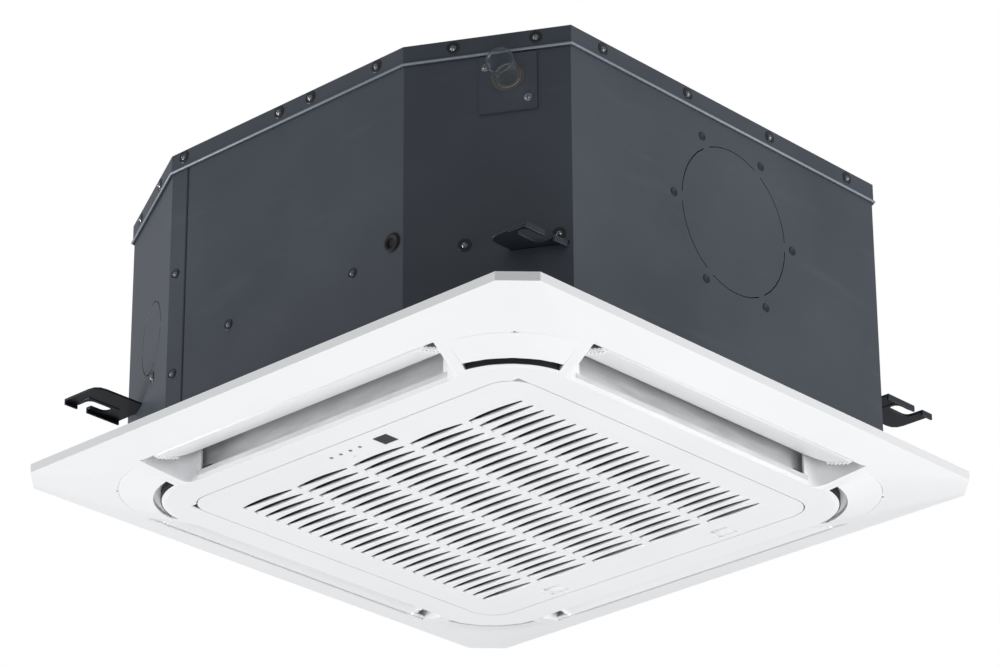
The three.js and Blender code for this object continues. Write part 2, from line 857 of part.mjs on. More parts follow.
// Room for the grille's corners on the hinge side, which swing up through the lip as it opens.
function swingRoom(sign) {
  const near = sign * (openingHalf - openingRadius);
  const far = sign * (grilleHalf + runningGap);
  const edge = hingeX - hingeHeight - runningGap;
  return block(edge, openingRadius - openingHalf, near, far, -overrun, hingeHeight);
}

function makePanelFrame() {
  const shell = panelShell();
  const lip = common(outletLip(), panelBody(0, 0, ductTop));
  const outlet = prism(outletShape(0, 0, 0), -overrun, outletEndHeight + overrun);
  const collarOuter = roundedSquare(collarHalf + collarWall, collarRadius + collarWall);
  const collarInner = roundedSquare(collarHalf, collarRadius);
  const opening = prism(polygon(roundedSquare(openingHalf, openingRadius)), -overrun, panelWall);
  const rabbet = prism(polygon(collarInner), lipThickness, collarTop + overrun);
  const collar = prism(polygon(collarOuter), lipThickness, collarTop);
  const bores = onAllSides(louvrePinWay());
  const blank = join(shell, collar, ...onAllSides(lip), ...inAllCorners(cornerLedge()));
  const rooms = [-1, 1].map((sign) => swingRoom(sign));
  const outlets = onAllSides(outlet);
  const pockets = inAllCorners(cornerPocket());
  const body = cut(blank, opening, rabbet, ...outlets, ...pockets, ...bores, ...rooms);
  const arms = [-1, 1].map((sign) => hingeArms((sign * hingePitch) / 2));
  const catches = [-1, 1].map((sign) => latchCatch((sign * latchPitch) / 2));
  return join(body, ...arms, ...catches);
}

// The corner cover between +X and +Y. It carries the panel's slope on, up to the slot round the ring.
function makeCornerCover() {
  const arc = shoulderReach + shoulderRadius - pocketInset;
  const half = coverNotchWidth / 2;
  const notch = block(arc - coverNotchDepth, arc + overrun, -half, half, 0, coverTop + overrun);
  const slotEdge = ringRadius + pocketEdge + coverSlot;
  const slot = rod(slotEdge, -overrun, coverTop + overrun, slotSideCount).translate(ringReach, 0, 0);
  const plate = prism(pocketOutline(coverGap), 0, coverTop, pocketStepCount);
  return common(cut(plate, notch, slot).rotateZ(quarter / 2), panelShell());
}

function makeOutletDuct() {
  const outer = block(ductInner, ductOuter, -ductHalf, ductHalf, ductFoot, ductTop);
  const ends = ductHalf - ductWall;
  const bore = block(ductInner + ductWall, ductOuter - ductWall, -ends, ends, 0, ductTop + overrun);
  const skirtFoot = outletLipHeight + seatGap;
  const skirt = block(ductInner, ductInner + ductWall, -ductSkirtHalf, ductSkirtHalf, skirtFoot, ductFoot + sunk);
  return cut(join(cut(outer, bore), skirt), louvrePinWay());
}

// A louvre about its own pivot, in the pose that closes the outlet.
function makeLouvre() {
  const outline = outletShape(louvreOuterInset, louvreInnerInset, louvreEndInset, louvreToothDepth);
  const rise = outletSlope * (louvrePivotOut - ringHalf) + seatGap - louvrePivotHeight;
  const slope = new THREE.Matrix4().makeShear(0, outletSlope, 0, 0, 0, 0);
  const flap = prism(outline, 0, louvreThickness).translate(-louvrePivotOut, 0, 0);
  flap.applyMatrix4(slope).translate(0, 0, rise);
  const pins = [-1, 1].map((sign) => {
    const start = sign > 0 ? louvrePinEnd - louvrePinLength : -louvrePinEnd;
    return rodAlongY(louvrePinRadius, start, start + louvrePinLength, 0, 0);
  });
  return join(flap, ...pins);
}

// A geared louvre motor, from the duct's end wall outwards.
function makeLouvreMotor() {
  const end = louvreMotorRadius + louvreMotorEar;
  const half = louvreMotorEarHeight / 2;
  const can = rodAlongY(louvreMotorRadius, 0, louvreMotorLength, 0, 0);
  return join(can, block(-end, end, 0, ductWall, -half, half));
}

// Intake grille and what it carries

function grilleShape() {
  const shape = polygon(roundedSquare(grilleHalf, grilleRadius));
  const half = slotLength / 2;
  for (let row = 0; row < slotRowCount; row++) {
    const x = slotFieldX * (row / (slotRowCount - 1) - 1 / 2);
    const right = x + slotWidth / 2;
    const left = x - slotWidth / 2;
    for (let column = 0; column < slotColumnCount; column++) {
      const y = slotFieldY * (column / (slotColumnCount - 1) - 1 / 2);
      const end = left + slotBow;
      shape.holes.push(polygon([[right, y - half], [right, y + half], [end, y + half], [left, y], [end, y - half]]));
    }
  }
  return shape;
}

// Holes in the grille's margins for the latches, the window, the lamps and the button.
function marginHoles() {
  const windowHole = windowSide / 2 + seatGap;
  const latchLeft = latchX - latchGripHalf - latchTravel - runningGap;
  const latchRight = latchX + latchGripHalf + runningGap;
  const middle = (latchLeft + latchRight) / 2;
  const latchHalf = (latchRight - latchLeft) / 2;
  const lamps = Array.from({ length: lampCount }, (_, i) => {
    return circle(lampRadius + seatGap, boreSideCount, lampX, lampY - i * lampPitch);
  });
  const latches = [-1, 1].map((sign) => {
    return rectangle(middle, (sign * latchPitch) / 2, latchHalf, latchHalfWidth + runningGap);
  });
  const button = circle(buttonRadius + seatGap, boreSideCount, buttonX, buttonY);
  return [rectangle(windowX, windowY, windowHole, windowHole), button, ...lamps, ...latches];
}

function grilleKnuckle(y) {
  const half = knuckleWidth / 2;
  const foot = grilleThickness - sunk;
  const top = grilleThickness + knuckleHeight;
  const lug = block(hingeX - knuckleHalf, hingeX + knuckleHalf, y - half, y + half, foot, top);
  return cut(lug, rodAlongY(hingePinRadius + runningGap, y - knuckleWidth, y + knuckleWidth, hingeX, hingeHeight));
}

function makeGrille() {
  const shape = grilleShape();
  for (const hole of marginHoles()) shape.holes.push(polygon(hole));
  const plate = prism(shape, 0, grilleThickness);
  const foot = grilleThickness - sunk;
  const trayInner = rectangle(0, 0, trayHalfX, trayHalfY);
  const trayOuter = rectangle(0, 0, trayHalfX + trayWall, trayHalfY + trayWall);
  const tray = tube(trayOuter, trayInner, foot, grilleThickness + trayHeight);
  const ribPitch = slotFieldY / (slotColumnCount - 1);
  const ribs = Array.from({ length: slotColumnCount - 1 }, (_, i) => {
    const y = (i + 1 - slotColumnCount / 2) * ribPitch;
    const end = trayHalfX + sunk;
    return block(-end, end, y - ribWidth / 2, y + ribWidth / 2, foot, grilleThickness + ribHeight);
  });
  const knuckles = [-1, 1].map((sign) => grilleKnuckle((sign * hingePitch) / 2));
  const posts = [-1, 1].map((sign) => {
    return rod(boardPostRadius, foot, boardHeight - seatGap).translate(boardX, sign * boardPostY, 0);
  });
  return join(plate, tray, ...ribs, ...knuckles, ...posts);
}

function makeFilter() {
  const foot = grilleThickness + ribHeight + seatGap;
  const top = foot + filterThickness;
  const bayX = (filterLengthX - filterFrame) / filterBayCount;
  const bayY = (filterLengthY - filterFrame) / filterBayCount;
  const halfX = (bayX - filterFrame) / 2;
  const halfY = (bayY - filterFrame) / 2;
  const bays = [];
  for (let i = 0; i < filterBayCount; i++) {
    for (let j = 0; j < filterBayCount; j++) {
      const x = (i + 1 / 2 - filterBayCount / 2) * bayX;
      const y = (j + 1 / 2 - filterBayCount / 2) * bayY;
      bays.push(block(x - halfX, x + halfX, y - halfY, y + halfY, foot + filterSheet, top + overrun));
    }
  }
  const endX = filterLengthX / 2;
  const endY = filterLengthY / 2;
  return cut(block(-endX, endX, -endY, endY, foot, top), ...bays);
}

function makeReceiverWindow() {
  const half = windowSide / 2;
  const flange = half + windowFlange;
  const seat = grilleThickness + seatGap;
  const pane = block(-half, half, -half, half, seatGap, seat + sunk);
  return join(pane, block(-flange, flange, -flange, flange, seat, seat + windowFlangeThickness));
}

// The circuit board behind the margin, with its indicator lamps reaching down into the grille.
function makeDisplayBoard() {
  const halfX = boardWidth / 2;
  const halfY = boardLength / 2;
  const card = block(boardX - halfX, boardX + halfX, -halfY, halfY, boardHeight, boardHeight + boardThickness);
  const lamps = Array.from({ length: lampCount }, (_, i) => {
    const stem = turned([[0, seatGap], [lampRadius / 2, 2 * seatGap], [lampRadius, lampRadius],
      [lampRadius, boardHeight + sunk], [0, boardHeight + sunk]], boreSideCount);
    return stem.translate(lampX, lampY - i * lampPitch, 0);
  });
  return join(card, ...lamps);
}

function makeButton() {
  const seat = grilleThickness + seatGap;
  const stem = rod(buttonRadius, seatGap, seat + buttonFlangeThickness, boreSideCount);
  const flange = rod(buttonRadius + buttonFlange, seat, seat + buttonFlangeThickness, boreSideCount);
  return join(stem, flange);
}

// A slide latch about the middle of its grip; its tongue reaches over a catch on the panel.
function makeLatch() {
  const seat = grilleThickness + seatGap;
  const top = seat + latchPlateThickness;
  const grip = block(-latchGripHalf, latchGripHalf, -latchHalfWidth, latchHalfWidth, latchRecess, seat + sunk);
  const plate = block(-latchPlateReach, latchPlateReach, -latchPlateHalf, latchPlateHalf, seat, top);
  const tongue = block(0, latchTongueReach, -latchTongueHalf, latchTongueHalf, seat, top);
  const ribs = Array.from({ length: latchRibCount }, (_, i) => {
    const x = (i - (latchRibCount - 1) / 2) * latchRibPitch;
    const half = latchRibWidth / 2;
    return block(x - half, x + half, -latchTongueHalf, latchTongueHalf, latchRecess - latchRibHeight, seat);
  });
  return join(grip, plate, tongue, ...ribs);
}

function makeHingePin() {
  return rodAlongY(hingePinRadius, -hingePinLength / 2, hingePinLength / 2, 0, 0);
}

// Casing

// The part of the casing's plan that the corner sheet covers.
function cornerRegion(gap) {
  const edge = casingHalf + overrun;
  const lapY = casingHalf - chamferAlongY - lapLength - gap;
  const lapX = casingHalf - chamferAlongX - lapLength - gap;
  const inner = casingHalf - lapRegion;
  const outline = [[-edge, lapY], [-inner, lapY], [-lapX, inner], [-lapX, edge], [-edge, edge]];
  return prism(polygon(outline), casingFoot - overrun, lidTop);
}

// A flat cutter stood up so that its outline lies in a wall's plane and its depth runs through the wall.
function throughWall(shape) {
  const axes = [new THREE.Vector3(0, 1, 0), new THREE.Vector3(0, 0, 1), new THREE.Vector3(1, 0, 0)];
  return prism(shape, -overrun, overrun).applyMatrix4(new THREE.Matrix4().makeBasis(...axes));
}

function holeThroughWall(radius, along, z) {
  return throughWall(polygon(circle(radius, rodSideCount, along, z)));
}

// Perforated arcs of a round knock-out.
function knockout(radius, along, z) {
  const pitch = (2 * Math.PI) / knockoutArcCount;
  const half = (pitch * knockoutArcShare) / 2;
  return Array.from({ length: knockoutArcCount }, (_, i) => {
    const middle = (i + 1 / 2) * pitch;
    const shape = new THREE.Shape();
    shape.absarc(along, z, radius, middle - half, middle + half, false);
    shape.absarc(along, z, radius - knockoutCut, middle + half, middle - half, true);
    return throughWall(shape);
  });
}

function ductKnockout() {
  const pilots = circle(pilotCircle, pilotCount, ductKnockoutX, ductKnockoutZ);
  const holes = pilots.map(([x, z]) => throughWall(polygon(circle(pilotRadius, boreSideCount, x, z))));
  return [...knockout(ductKnockoutRadius, ductKnockoutX, ductKnockoutZ), ...holes];
}

function hangerSlit({ inner, outer }, signX, signY) {
  const low = hangerPlateZ - runningGap;
  const high = hangerPlateZ + hangerThickness + runningGap;
  const y0 = signY * (hangerPlateInnerY - runningGap);
  const y1 = signY * (hangerPlateOuterY + runningGap);
  return block(signX * (inner - runningGap), signX * (outer + runningGap), y0, y1, low, high);
}

function inFrame(group, cutters) {
  return cutters.map((cutter) => cutter.applyMatrix4(group.matrix));
}

// The whole folded sheet with every hole in it, before the corner sheet is parted from it.
function casingShell() {
  const walls = tube(octagon(0), octagon(sheet), casingFoot, wallTop);
  const flange = tube(octagon(0), octagon(baseFlange), casingFoot, casingFoot + sheet);
  const slits = [hangerSlit(wideHanger, 1, -1), hangerSlit(wideHanger, -1, 1),
    hangerSlit(narrowHanger, 1, 1), hangerSlit(narrowHanger, -1, -1)];
  const pipeHoles = [holeThroughWall(branchHoleRadius, -headerInner, flowBranchZ),
    holeThroughWall(branchHoleRadius, -headerOuter, returnBranchZ)];
  const drainHole = holeThroughWall(drainHoleRadius, drainAlong, drainZ);
  const pipeKnockout = knockout(pipeKnockoutRadius, pipeKnockoutAlong, pipeKnockoutZ);
  return cut(
    join(walls, flange),
    ...slits,
    ...inFrame(faceGroup(1), pipeHoles),
    ...inFrame(faceGroup(2), [holeThroughWall(cableHoleRadius, -cableHoleY, cableHoleZ)]),
    ...inFrame(faceGroup(-1), ductKnockout()),
    ...inFrame(chamferGroup(-1, -1), [drainHole]),
    ...inFrame(chamferGroup(-1, 1), pipeKnockout),
  );
}

// The strip behind a lap joint on a casing face; the sense tells on which side of the edge the corner sheet lies.
function lapStrip(turns, edge, sense) {
  const inner = casingHalf - 2 * sheet - seatGap;
  const low = panFoot;
  const root = edge - sense * lapRoot;
  const strip = block(inner, inner + sheet, root, edge + sense * lapReach, low, wallTop);
  const joggle = block(inner, casingHalf - sheet / 2, root, edge - sense * runningGap, low, wallTop);
  return join(strip, joggle).rotateZ(turns * quarter);
}

function makeCasingMain(shell) {
  const lapY = casingHalf - chamferAlongY - lapLength;
  const lapX = casingHalf - chamferAlongX - lapLength;
  return join(cut(shell, cornerRegion(seatGap)), lapStrip(2, -lapY, -1), lapStrip(1, lapX, 1));
}

function makeTopCover() {
  const inset = -(seatGap + sheet);
  const plate = prism(polygon(octagon(inset)), lidUnderside, lidTop);
  const flange = tube(octagon(inset), octagon(-seatGap), lidTop - lidFlange, lidUnderside + sheet / 2);
  const foot = lidTop - lidFlange;
  const roll = tube(octagon(inset - lidRoll), octagon(-seatGap), foot, foot + lidRollHeight);
  const dish = turned([[0, dishFoot], [pressingRadius, dishFoot],
    [pressingRadius + pressingSlope, lidUnderside + sheet / 2], [0, lidUnderside + sheet / 2]]);
  const floor = dishFoot + sheet;
  const inner = pressingRadius - sheet;
  const rim = inner + pressingSlope;
  const hollow = turned([[0, floor], [inner, floor], [rim, lidTop], [rim, lidTop + overrun], [0, lidTop + overrun]]);
  return cut(join(plate, flange, roll, dish), hollow);
}

// Where one kind of hanger starts and ends along X, and where its slot lies and opens.
function makeHangerPlan(inset, reach, slotInset, mouthSide) {
  const inner = casingHalf - inset;
  return { inner, outer: inner + reach, slot: casingHalf - slotInset, mouthSide };
}

// The way for a suspension rod through a hanger: a rounded slot with a mouth in the turned-down edge.
function hangerRodWay(slot, mouthSide) {
  const top = hangerPlateZ + hangerThickness + overrun;
  const half = hangerSlotWidth / 2;
  const run = hangerSlotLength / 2 - half;
  const outline = new THREE.Shape();
  outline.absarc(slot + run, -hangerSlotY, half, -quarter, quarter, false);
  outline.absarc(slot - run, -hangerSlotY, half, quarter, 3 * quarter, false);
  const mouth = slot + mouthSide * run;
  const gate = block(mouth - half, mouth + half, -hangerSlotY, -hangerPlateOuterY - overrun, 0, top);
  return [prism(outline, 0, top), gate];
}

// A hanger bracket at +X and -Y: a plate with a raised seat round its slot and a turned-down edge, on a foot behind
// the chamfer.
function makeHanger({ inner, outer, slot, mouthSide }) {
  const top = hangerPlateZ + hangerThickness;
  const round = hangerCornerRadius;
  const outline = new THREE.Shape();
  outline.moveTo(inner, -hangerPlateOuterY);
  outline.lineTo(outer, -hangerPlateOuterY);
  outline.lineTo(outer, -hangerPlateInnerY - round);
  outline.quadraticCurveTo(outer, -hangerPlateInnerY, outer - round, -hangerPlateInnerY);
  outline.lineTo(inner, -hangerPlateInnerY);
  const plate = prism(outline, hangerPlateZ, top);
  const seatX = hangerSlotLength / 2 + hangerSeatMargin;
  const seatY = hangerSlotWidth / 2 + hangerSeatMargin;
  const seatFoot = hangerPlateZ - hangerSeatHeight;
  const seat = block(slot - seatX, slot + seatX, -hangerSlotY - seatY, seatY - hangerSlotY, seatFoot, top);
  const lipEdge = hangerPlateOuterY - hangerThickness;
  const lipStart = Math.max(inner, chamferX(lipEdge, -runningGap));
  const lip = block(lipStart, outer, -hangerPlateOuterY, -lipEdge, top - hangerFlange, top);
  const footInset = sheet + seatGap;
  const inside = prism(polygon(octagon(footInset + hangerThickness)), 0, top + overrun);
  const footLow = hangerPlateZ - hangerFootDrop;
  const middle = chamferLength / 2;
  const foot = block(-footInset - hangerThickness, -footInset, middle - hangerFootStart, middle - hangerFootEnd,
    footLow, footLow + hangerFootHeight);
  foot.applyMatrix4(chamferGroup(1, -1).matrix);
  return join(cut(join(plate, seat, lip), ...hangerRodWay(slot, mouthSide), inside), foot);
}

function makeSideFoam() {
  const foam = tube(octagon(foamInset), octagon(foamInset + sideFoam), panTop + seatGap, coilTop);
  const wayRadius = branchHoleRadius;
  const ways = [[headerInner, flowBranchZ], [headerOuter, returnBranchZ]].map(([x, z]) => {
    return rodAlongY(wayRadius, casingHalf - lapRegion, casingHalf, x, z);
  });
  const drainWay = rodAlongX(drainHoleRadius, -lapRegion, 0, drainAlong, drainZ);
  return cut(foam, ...ways, drainWay.applyMatrix4(chamferGroup(-1, -1).matrix));
}

function makeTopFoam() {
  return tube(octagon(foamInset), circle(topFoamHole, wheelSideCount), topFoamFoot, wallTop);
}

// Water side

function makeDrainPan() {
  const body = tube(octagon(foamInset), circle(panThroatRadius, wheelSideCount), panFoot, panTop);
  const troughOuter = coilOuterHalf + troughMargin;
  const troughInner = coilInnerHalf - troughMargin;
  const outerRadius = coilInnerRadius + coilDepth + troughMargin;
  const innerRadius = coilInnerRadius - troughMargin;
  const outer = roundedSquare(troughOuter, outerRadius);
  const trough = tube(outer, roundedSquare(troughInner, innerRadius), troughFloor, panTop + overrun);
  const slot = block(panDuctInner, panDuctOuter, -panDuctHalf, panDuctHalf, 0, panTop + overrun);
  const sump = block(-sumpInset - sumpDepth, -sumpInset, sumpStart, sumpEnd, troughFloor, panTop + overrun);
  return cut(body, trough, ...onAllSides(slot), sump.applyMatrix4(chamferGroup(-1, -1).matrix));
}

function makeCoil() {
  const outer = roundedSquare(coilOuterHalf, coilInnerRadius + coilDepth);
  const finPack = tube(outer, roundedSquare(coilInnerHalf, coilInnerRadius), coilFoot, coilTop);
  const gap = block(coilCut, panelHalf, coilCut, panelHalf, 0, lidTop);
  const grooves = [];
  for (let i = 0; i < finGrooveCount; i++) {
    const y = finFieldHalf * ((2 * i) / (finGrooveCount - 1) - 1);
    const half = finGrooveWidth / 2;
    grooves.push(block(coilOuterHalf - finGrooveDepth, coilOuterHalf + overrun, y - half, y + half, 0, lidTop));
  }
  return cut(finPack, gap, ...grooves.flatMap(onAllSides));
}

// A folded sheet that closes the gap between the coil's two ends.
function makeCoilEndPlate() {
  const near = coilCut + seatGap;
  const far = near + endPlateThickness;
  const bend = coilInnerHalf - endPlateThickness;
  const reach = coilInnerHalf + endPlateReach;
  const outline = [[near, reach], [far, reach], [far, bend], [bend, far], [reach, far], [reach, near],
    [bend - endPlateThickness, near], [near, bend - endPlateThickness]];
  return prism(polygon(outline), panTop + seatGap, coilTop);
}

// An upright header with feeders to the coil's end and a branch out through the casing.
function makeHeader(x, y, branchZ, feedersAlongX) {
  const top = headerFoot + headerHeight;
  const body = rod(headerRadius, headerFoot, top).translate(x, y, 0);
  const branch = rodAlongY(branchRadius, y, branchReach, x, branchZ);
  const bore = rodAlongY(branchBore, branchReach - branchBoreDepth, branchReach + overrun, x, branchZ);
  const face = coilCut + 2 * seatGap + endPlateThickness;
  const feeders = Array.from({ length: feederCount }, (_, i) => {
    const z = panTop + ((i + 1 / 2) * (top - panTop)) / feederCount;
    if (feedersAlongX) return rodAlongX(feederRadius, face, x, y, z, riserSideCount);
    return rodAlongY(feederRadius, face, y, x, z, riserSideCount);
  });
  return cut(join(body, branch, ...feeders), bore);
}

function makeUnionNut() {
  const nut = tube(circle(unionRadius, nutSideCount), circle(branchRadius + seatGap, rodSideCount), 0, unionLength);
  return nut.rotateX(-quarter);
}

function makePump() {
  const bodyFoot = sumpFloor + pumpFootHeight;
  const neckFoot = bodyFoot + pumpBodyHeight;
  const strainer = [[0, sumpFloor], [pumpFootRadius, sumpFloor], [pumpFootRadius, bodyFoot]];
  const can = [[pumpRadius, bodyFoot], [pumpRadius, neckFoot], [pumpNeckRadius, neckFoot]];
  const body = turned([...strainer, ...can, [pumpNeckRadius, pumpTop], [0, pumpTop]], rodSideCount);
  const stopFoot = sumpFloor + floatRest - floatStopHeight - seatGap;
  const armFoot = sumpFloor + floatRest + floatHeight + floatTravel + runningGap;
  const shift = floatAlong - drainAlong;
  const stem = rod(floatStemRadius, stopFoot, armFoot + floatArm).translate(0, shift, 0);
  const stop = rod(floatStopRadius, stopFoot, stopFoot + floatStopHeight).translate(0, shift, 0);
  const half = floatArm / 2;
  const arm = block(-half, half, shift - half, -pumpNeckRadius, armFoot, armFoot + floatArm);
  return join(body, stem, stop, arm);
}

function makeFloat() {
  const foot = sumpFloor + floatRest;
  const top = foot + floatHeight;
  const bore = floatStemRadius + runningGap;
  return turned([[bore, foot], [floatRadius, foot], [floatRadius, top], [bore, top]], rodSideCount);
}

// A bent hose from the pump's top into the outlet stub, in the chamfer's frame.
function makeRiser() {
  const foot = pumpTop + seatGap;
  const bend = pumpInset - stubInside;
  const path = new THREE.CurvePath();
  const start = new THREE.Vector3(-pumpInset, drainAlong, foot);
  const low = new THREE.Vector3(-pumpInset, drainAlong, drainZ - bend);
  const corner = new THREE.Vector3(-pumpInset, drainAlong, drainZ);
  const high = new THREE.Vector3(-stubInside, drainAlong, drainZ);
  path.add(new THREE.LineCurve3(start, low));
  path.add(new THREE.QuadraticBezierCurve3(low, corner, high));
  path.add(new THREE.LineCurve3(high, new THREE.Vector3(-riserEnd, drainAlong, drainZ)));
  const shape = polygon(circle(riserRadius, riserSideCount));
  shape.holes.push(polygon(circle(riserRadius - riserWall, riserSideCount)));
  return new THREE.ExtrudeGeometry(shape, { steps: riserStepCount, bevelEnabled: false, extrudePath: path });
}

function makeDrainPlate() {
  const foot = drainZ - drainPlateDrop;
  const half = drainPlateWidth / 2;
  const top = foot + drainPlateHeight;
  const plate = block(seatGap, seatGap + drainPlateThickness, drainAlong - half, drainAlong + half, foot, top);
  return cut(plate, rodAlongX(stubRadius + seatGap, -overrun, overrun, drainAlong, drainZ));
}

function makeDrainStub() {
  const bore = stubRadius - stubWall;
  const collar = drainPlateThickness + 2 * seatGap;
  const collarEnd = collar + stubCollarLength;
  const ring = [[stubRadius, collar], [stubCollarRadius, collar], [stubCollarRadius, collarEnd], [stubRadius, collarEnd]];
  const profile = [[bore, -stubInside], [stubRadius, -stubInside], ...ring, [stubRadius, stubReach], [bore, stubReach]];
  return turned(profile, rodSideCount).rotateY(quarter);
}

// Fan side

function makeImpeller() {
  const face = fanBackZ + fanWall;
  const hubTop = hubZ + hubHeight;
  const hub = [[hubBore, hubZ], [hubRadius, hubZ], [hubRadius, hubZ + hubFlange], [hubConeRadius, fanBackZ]];
  const disc = [[fanRadius, fanBackZ], [fanRadius, face], [hubConeRadius - fanWall, face]];
  const back = turned([...hub, ...disc, [hubRadius, hubTop], [hubBore, hubTop]]);
  const inner = flare(fanInletRadius, fanShroudZ, fanRadius, fanShroudRimZ);
  const outer = flare(fanInletRadius + fanWall, fanShroudZ, fanRadius, fanShroudRimZ - fanWall);
  const shroud = turned([...outer, ...inner.reverse()]);
  const middle = flare(fanInletRadius + fanWall / 2, fanShroudZ, fanRadius - sunk, fanShroudRimZ - fanWall / 2);
  const top = fanBackZ + fanWall / 2;
  const passage = turned([...middle, [fanRadius - sunk, top], [bladeInnerRadius - overrun, top]]);
  const blades = Array.from({ length: fanBladeCount }, (_, i) => {
    const blade = bladePrism().rotateZ((2 * Math.PI * i) / fanBladeCount);
    return common(blade, passage);
  });
  return join(back, shroud, ...blades);
}

// One backward-curved blade before it is trimmed to the fan's passage.
function bladePrism() {
  const front = [];
  const rear = [];
  for (let step = 0; step <= bladeStepCount; step++) {
    const share = step / bladeStepCount;
    const radius = THREE.MathUtils.lerp(bladeInnerRadius, fanRadius, share);
    const angle = -THREE.MathUtils.degToRad(bladeSweepDegrees) * share;
    const swell = Math.sin(Math.PI * Math.sqrt(share));
    const thickness = THREE.MathUtils.lerp(bladeTipThickness, bladeRootThickness, swell);
    const half = thickness / radius;
    front.push([radius * Math.cos(angle + half), radius * Math.sin(angle + half)]);
    rear.push([radius * Math.cos(angle - half), radius * Math.sin(angle - half)]);
  }
  return prism(polygon([...rear, ...front.reverse()]), fanShroudZ, fanBackZ + fanWall);
}

function makeHubNut() {
  const top = hubZ - seatGap;
  return tube(circle(hubNutRadius, nutSideCount), circle(hubBore, rodSideCount), top - hubNutHeight, top);
}

function makeFanMotor() {
  const shaftSpace = shaftTopZ + overrun;
  const bore = shaftRadius + runningGap;
  const can = [[motorRadius - motorRound, motorFootZ], [motorRadius, motorFootZ + motorRound]];
  const top = motorTopZ + sunk;
  const body = turned([[0, shaftSpace], [bore, shaftSpace], [bore, motorFootZ], ...can, [motorRadius, top], [0, top]]);
  const earTop = motorTopZ + motorEarThickness;
  const flange = rod(motorFlangeRadius, motorTopZ, earTop, wheelSideCount);
  const ears = Array.from({ length: mountCount }, (_, i) => {
    const bar = block(0, motorEarReach, -motorEarRadius, motorEarRadius, motorTopZ, earTop);
    const end = rod(motorEarRadius, motorTopZ, earTop).translate(motorEarReach, 0, 0);
    return join(bar, end).rotateZ((2 * Math.PI * i) / mountCount);
  });
  return join(body, flange, ...ears);
}

function makeRubberMount() {
  return rod(mountRadius, mountFoot, mountTop, boreSideCount);
}

function makeBellMouth() {
  const inner = flare(bellRadius, bellThroatZ, bellFlareRadius, bellPlateFoot);
  const outer = flare(bellRadius + bellWall, bellThroatZ, bellFlareRadius, bellPlateTop);
  const throat = turned([[bellRadius, bellTopZ], ...inner, ...outer.reverse(), [bellRadius + bellWall, bellTopZ]]);
  const hole = circle(bellFlareRadius - bellWall, wheelSideCount);
  const plate = tube(roundedSquare(bellPlateHalf, bellPlateRadius), hole, bellPlateFoot, bellPlateTop);
  return join(plate, throat);
}

// Control box, about its own middle in plan

function makeControlBox() {
  const halfX = boxWidth / 2;
  const halfY = boxLength / 2;
  const roof = boxTop - boxWall;
  const shell = block(-halfX, halfX, -halfY, halfY, boxFoot, boxTop);
  const space = block(boxWall - halfX, halfX - boxWall, boxWall - halfY, halfY - boxWall, 0, roof);
  const posts = rectangle(0, 0, halfX - 2 * circuitMargin, halfY - 2 * circuitMargin).map(([x, y]) => {
    return rod(circuitPostRadius, roof - circuitDrop, roof + boxWall / 2).translate(x, y, 0);
  });
  return join(cut(shell, space), ...posts);
}

function makeControlBoxCover() {
  const halfX = boxWidth / 2;
  const halfY = boxLength / 2;
  const top = boxFoot - seatGap;
  const inset = boxWall + seatGap;
  const plate = block(-halfX, halfX, -halfY, halfY, top - boxWall, top);
  const outer = rectangle(0, 0, halfX - inset, halfY - inset);
  const inner = rectangle(0, 0, halfX - inset - boxWall, halfY - inset - boxWall);
  return join(plate, tube(outer, inner, top - boxWall / 2, top + boxLip));
}

function makeControlBoard() {
  const halfX = boxWidth / 2 - boxWall - circuitMargin;
  const halfY = boxLength / 2 - boxWall - circuitMargin;
  const top = boxTop - boxWall - circuitDrop - seatGap;
  const under = top - circuitThickness;
  const card = block(-halfX, halfX, -halfY, halfY, under, top);
  const seat = under + circuitThickness / 2;
  const terminalEnd = halfX - circuitMargin / 2;
  const terminal = block(halfX - terminalWidth, terminalEnd, -terminalLength, 0, under - terminalHeight, seat);
  const relays = [1, 2].map((place) => {
    const y = place * relayPitch;
    const half = relaySide / 2;
    return block(-half, half, y - half, y + half, under - relayHeight, seat);
  });
  const can = rod(capacitorRadius, under - capacitorHeight, seat).translate(-halfX / 2, -relayPitch, 0);
  return join(card, terminal, ...relays, can);
}

function makeGrommet() {
  const outer = cableHoleRadius + grommetFlange;
  const groove = cableHoleRadius - seatGap;
  const back = -sheet - seatGap;
  const start = back - grommetThickness;
  const end = seatGap + grommetThickness;
  const waist = [[outer, back], [groove, back], [groove, seatGap], [outer, seatGap]];
  const profile = [[grommetBore, start], [outer, start], ...waist, [outer, end], [grommetBore, end]];
  return turned(profile, boreSideCount).rotateY(quarter);
}

// Assembly

function addPanel(unit) {
  addPart(unit, "panel_frame", makePanelFrame(), "panel");
  const cover = makeCornerCover();
  const corners = ["north_east", "north_west", "south_west", "south_east"];
  corners.forEach((corner, i) => {
    addPart(unit, `corner_cover_${corner}`, cover, "panel", (mesh) => {
      mesh.rotation.z = i * quarter;
    });
  });
}

function addOutlets(unit) {
  const duct = makeOutletDuct();
  const louvre = makeLouvre();
  const motor = makeLouvreMotor();
  ["east", "north", "west", "south"].forEach((name, turns) => {
    const side = new THREE.Group();
    side.rotation.z = turns * quarter;
    unit.add(side);
    addPart(side, `outlet_duct_${name}`, duct, "duct");
    addPart(side, `louvre_${name}`, louvre, "panel", (mesh) => {
      mesh.position.set(louvrePivotOut, 0, louvrePivotHeight);
      mesh.rotation.y = THREE.MathUtils.degToRad(louvreOpenDegrees);
    });
    addPart(side, `louvre_motor_${name}`, motor, "motor", (mesh) => {
      mesh.position.set(louvrePivotOut, ductHalf + seatGap, louvrePivotHeight + louvreMotorRadius + louvreMotorLift);
    });
  });
}

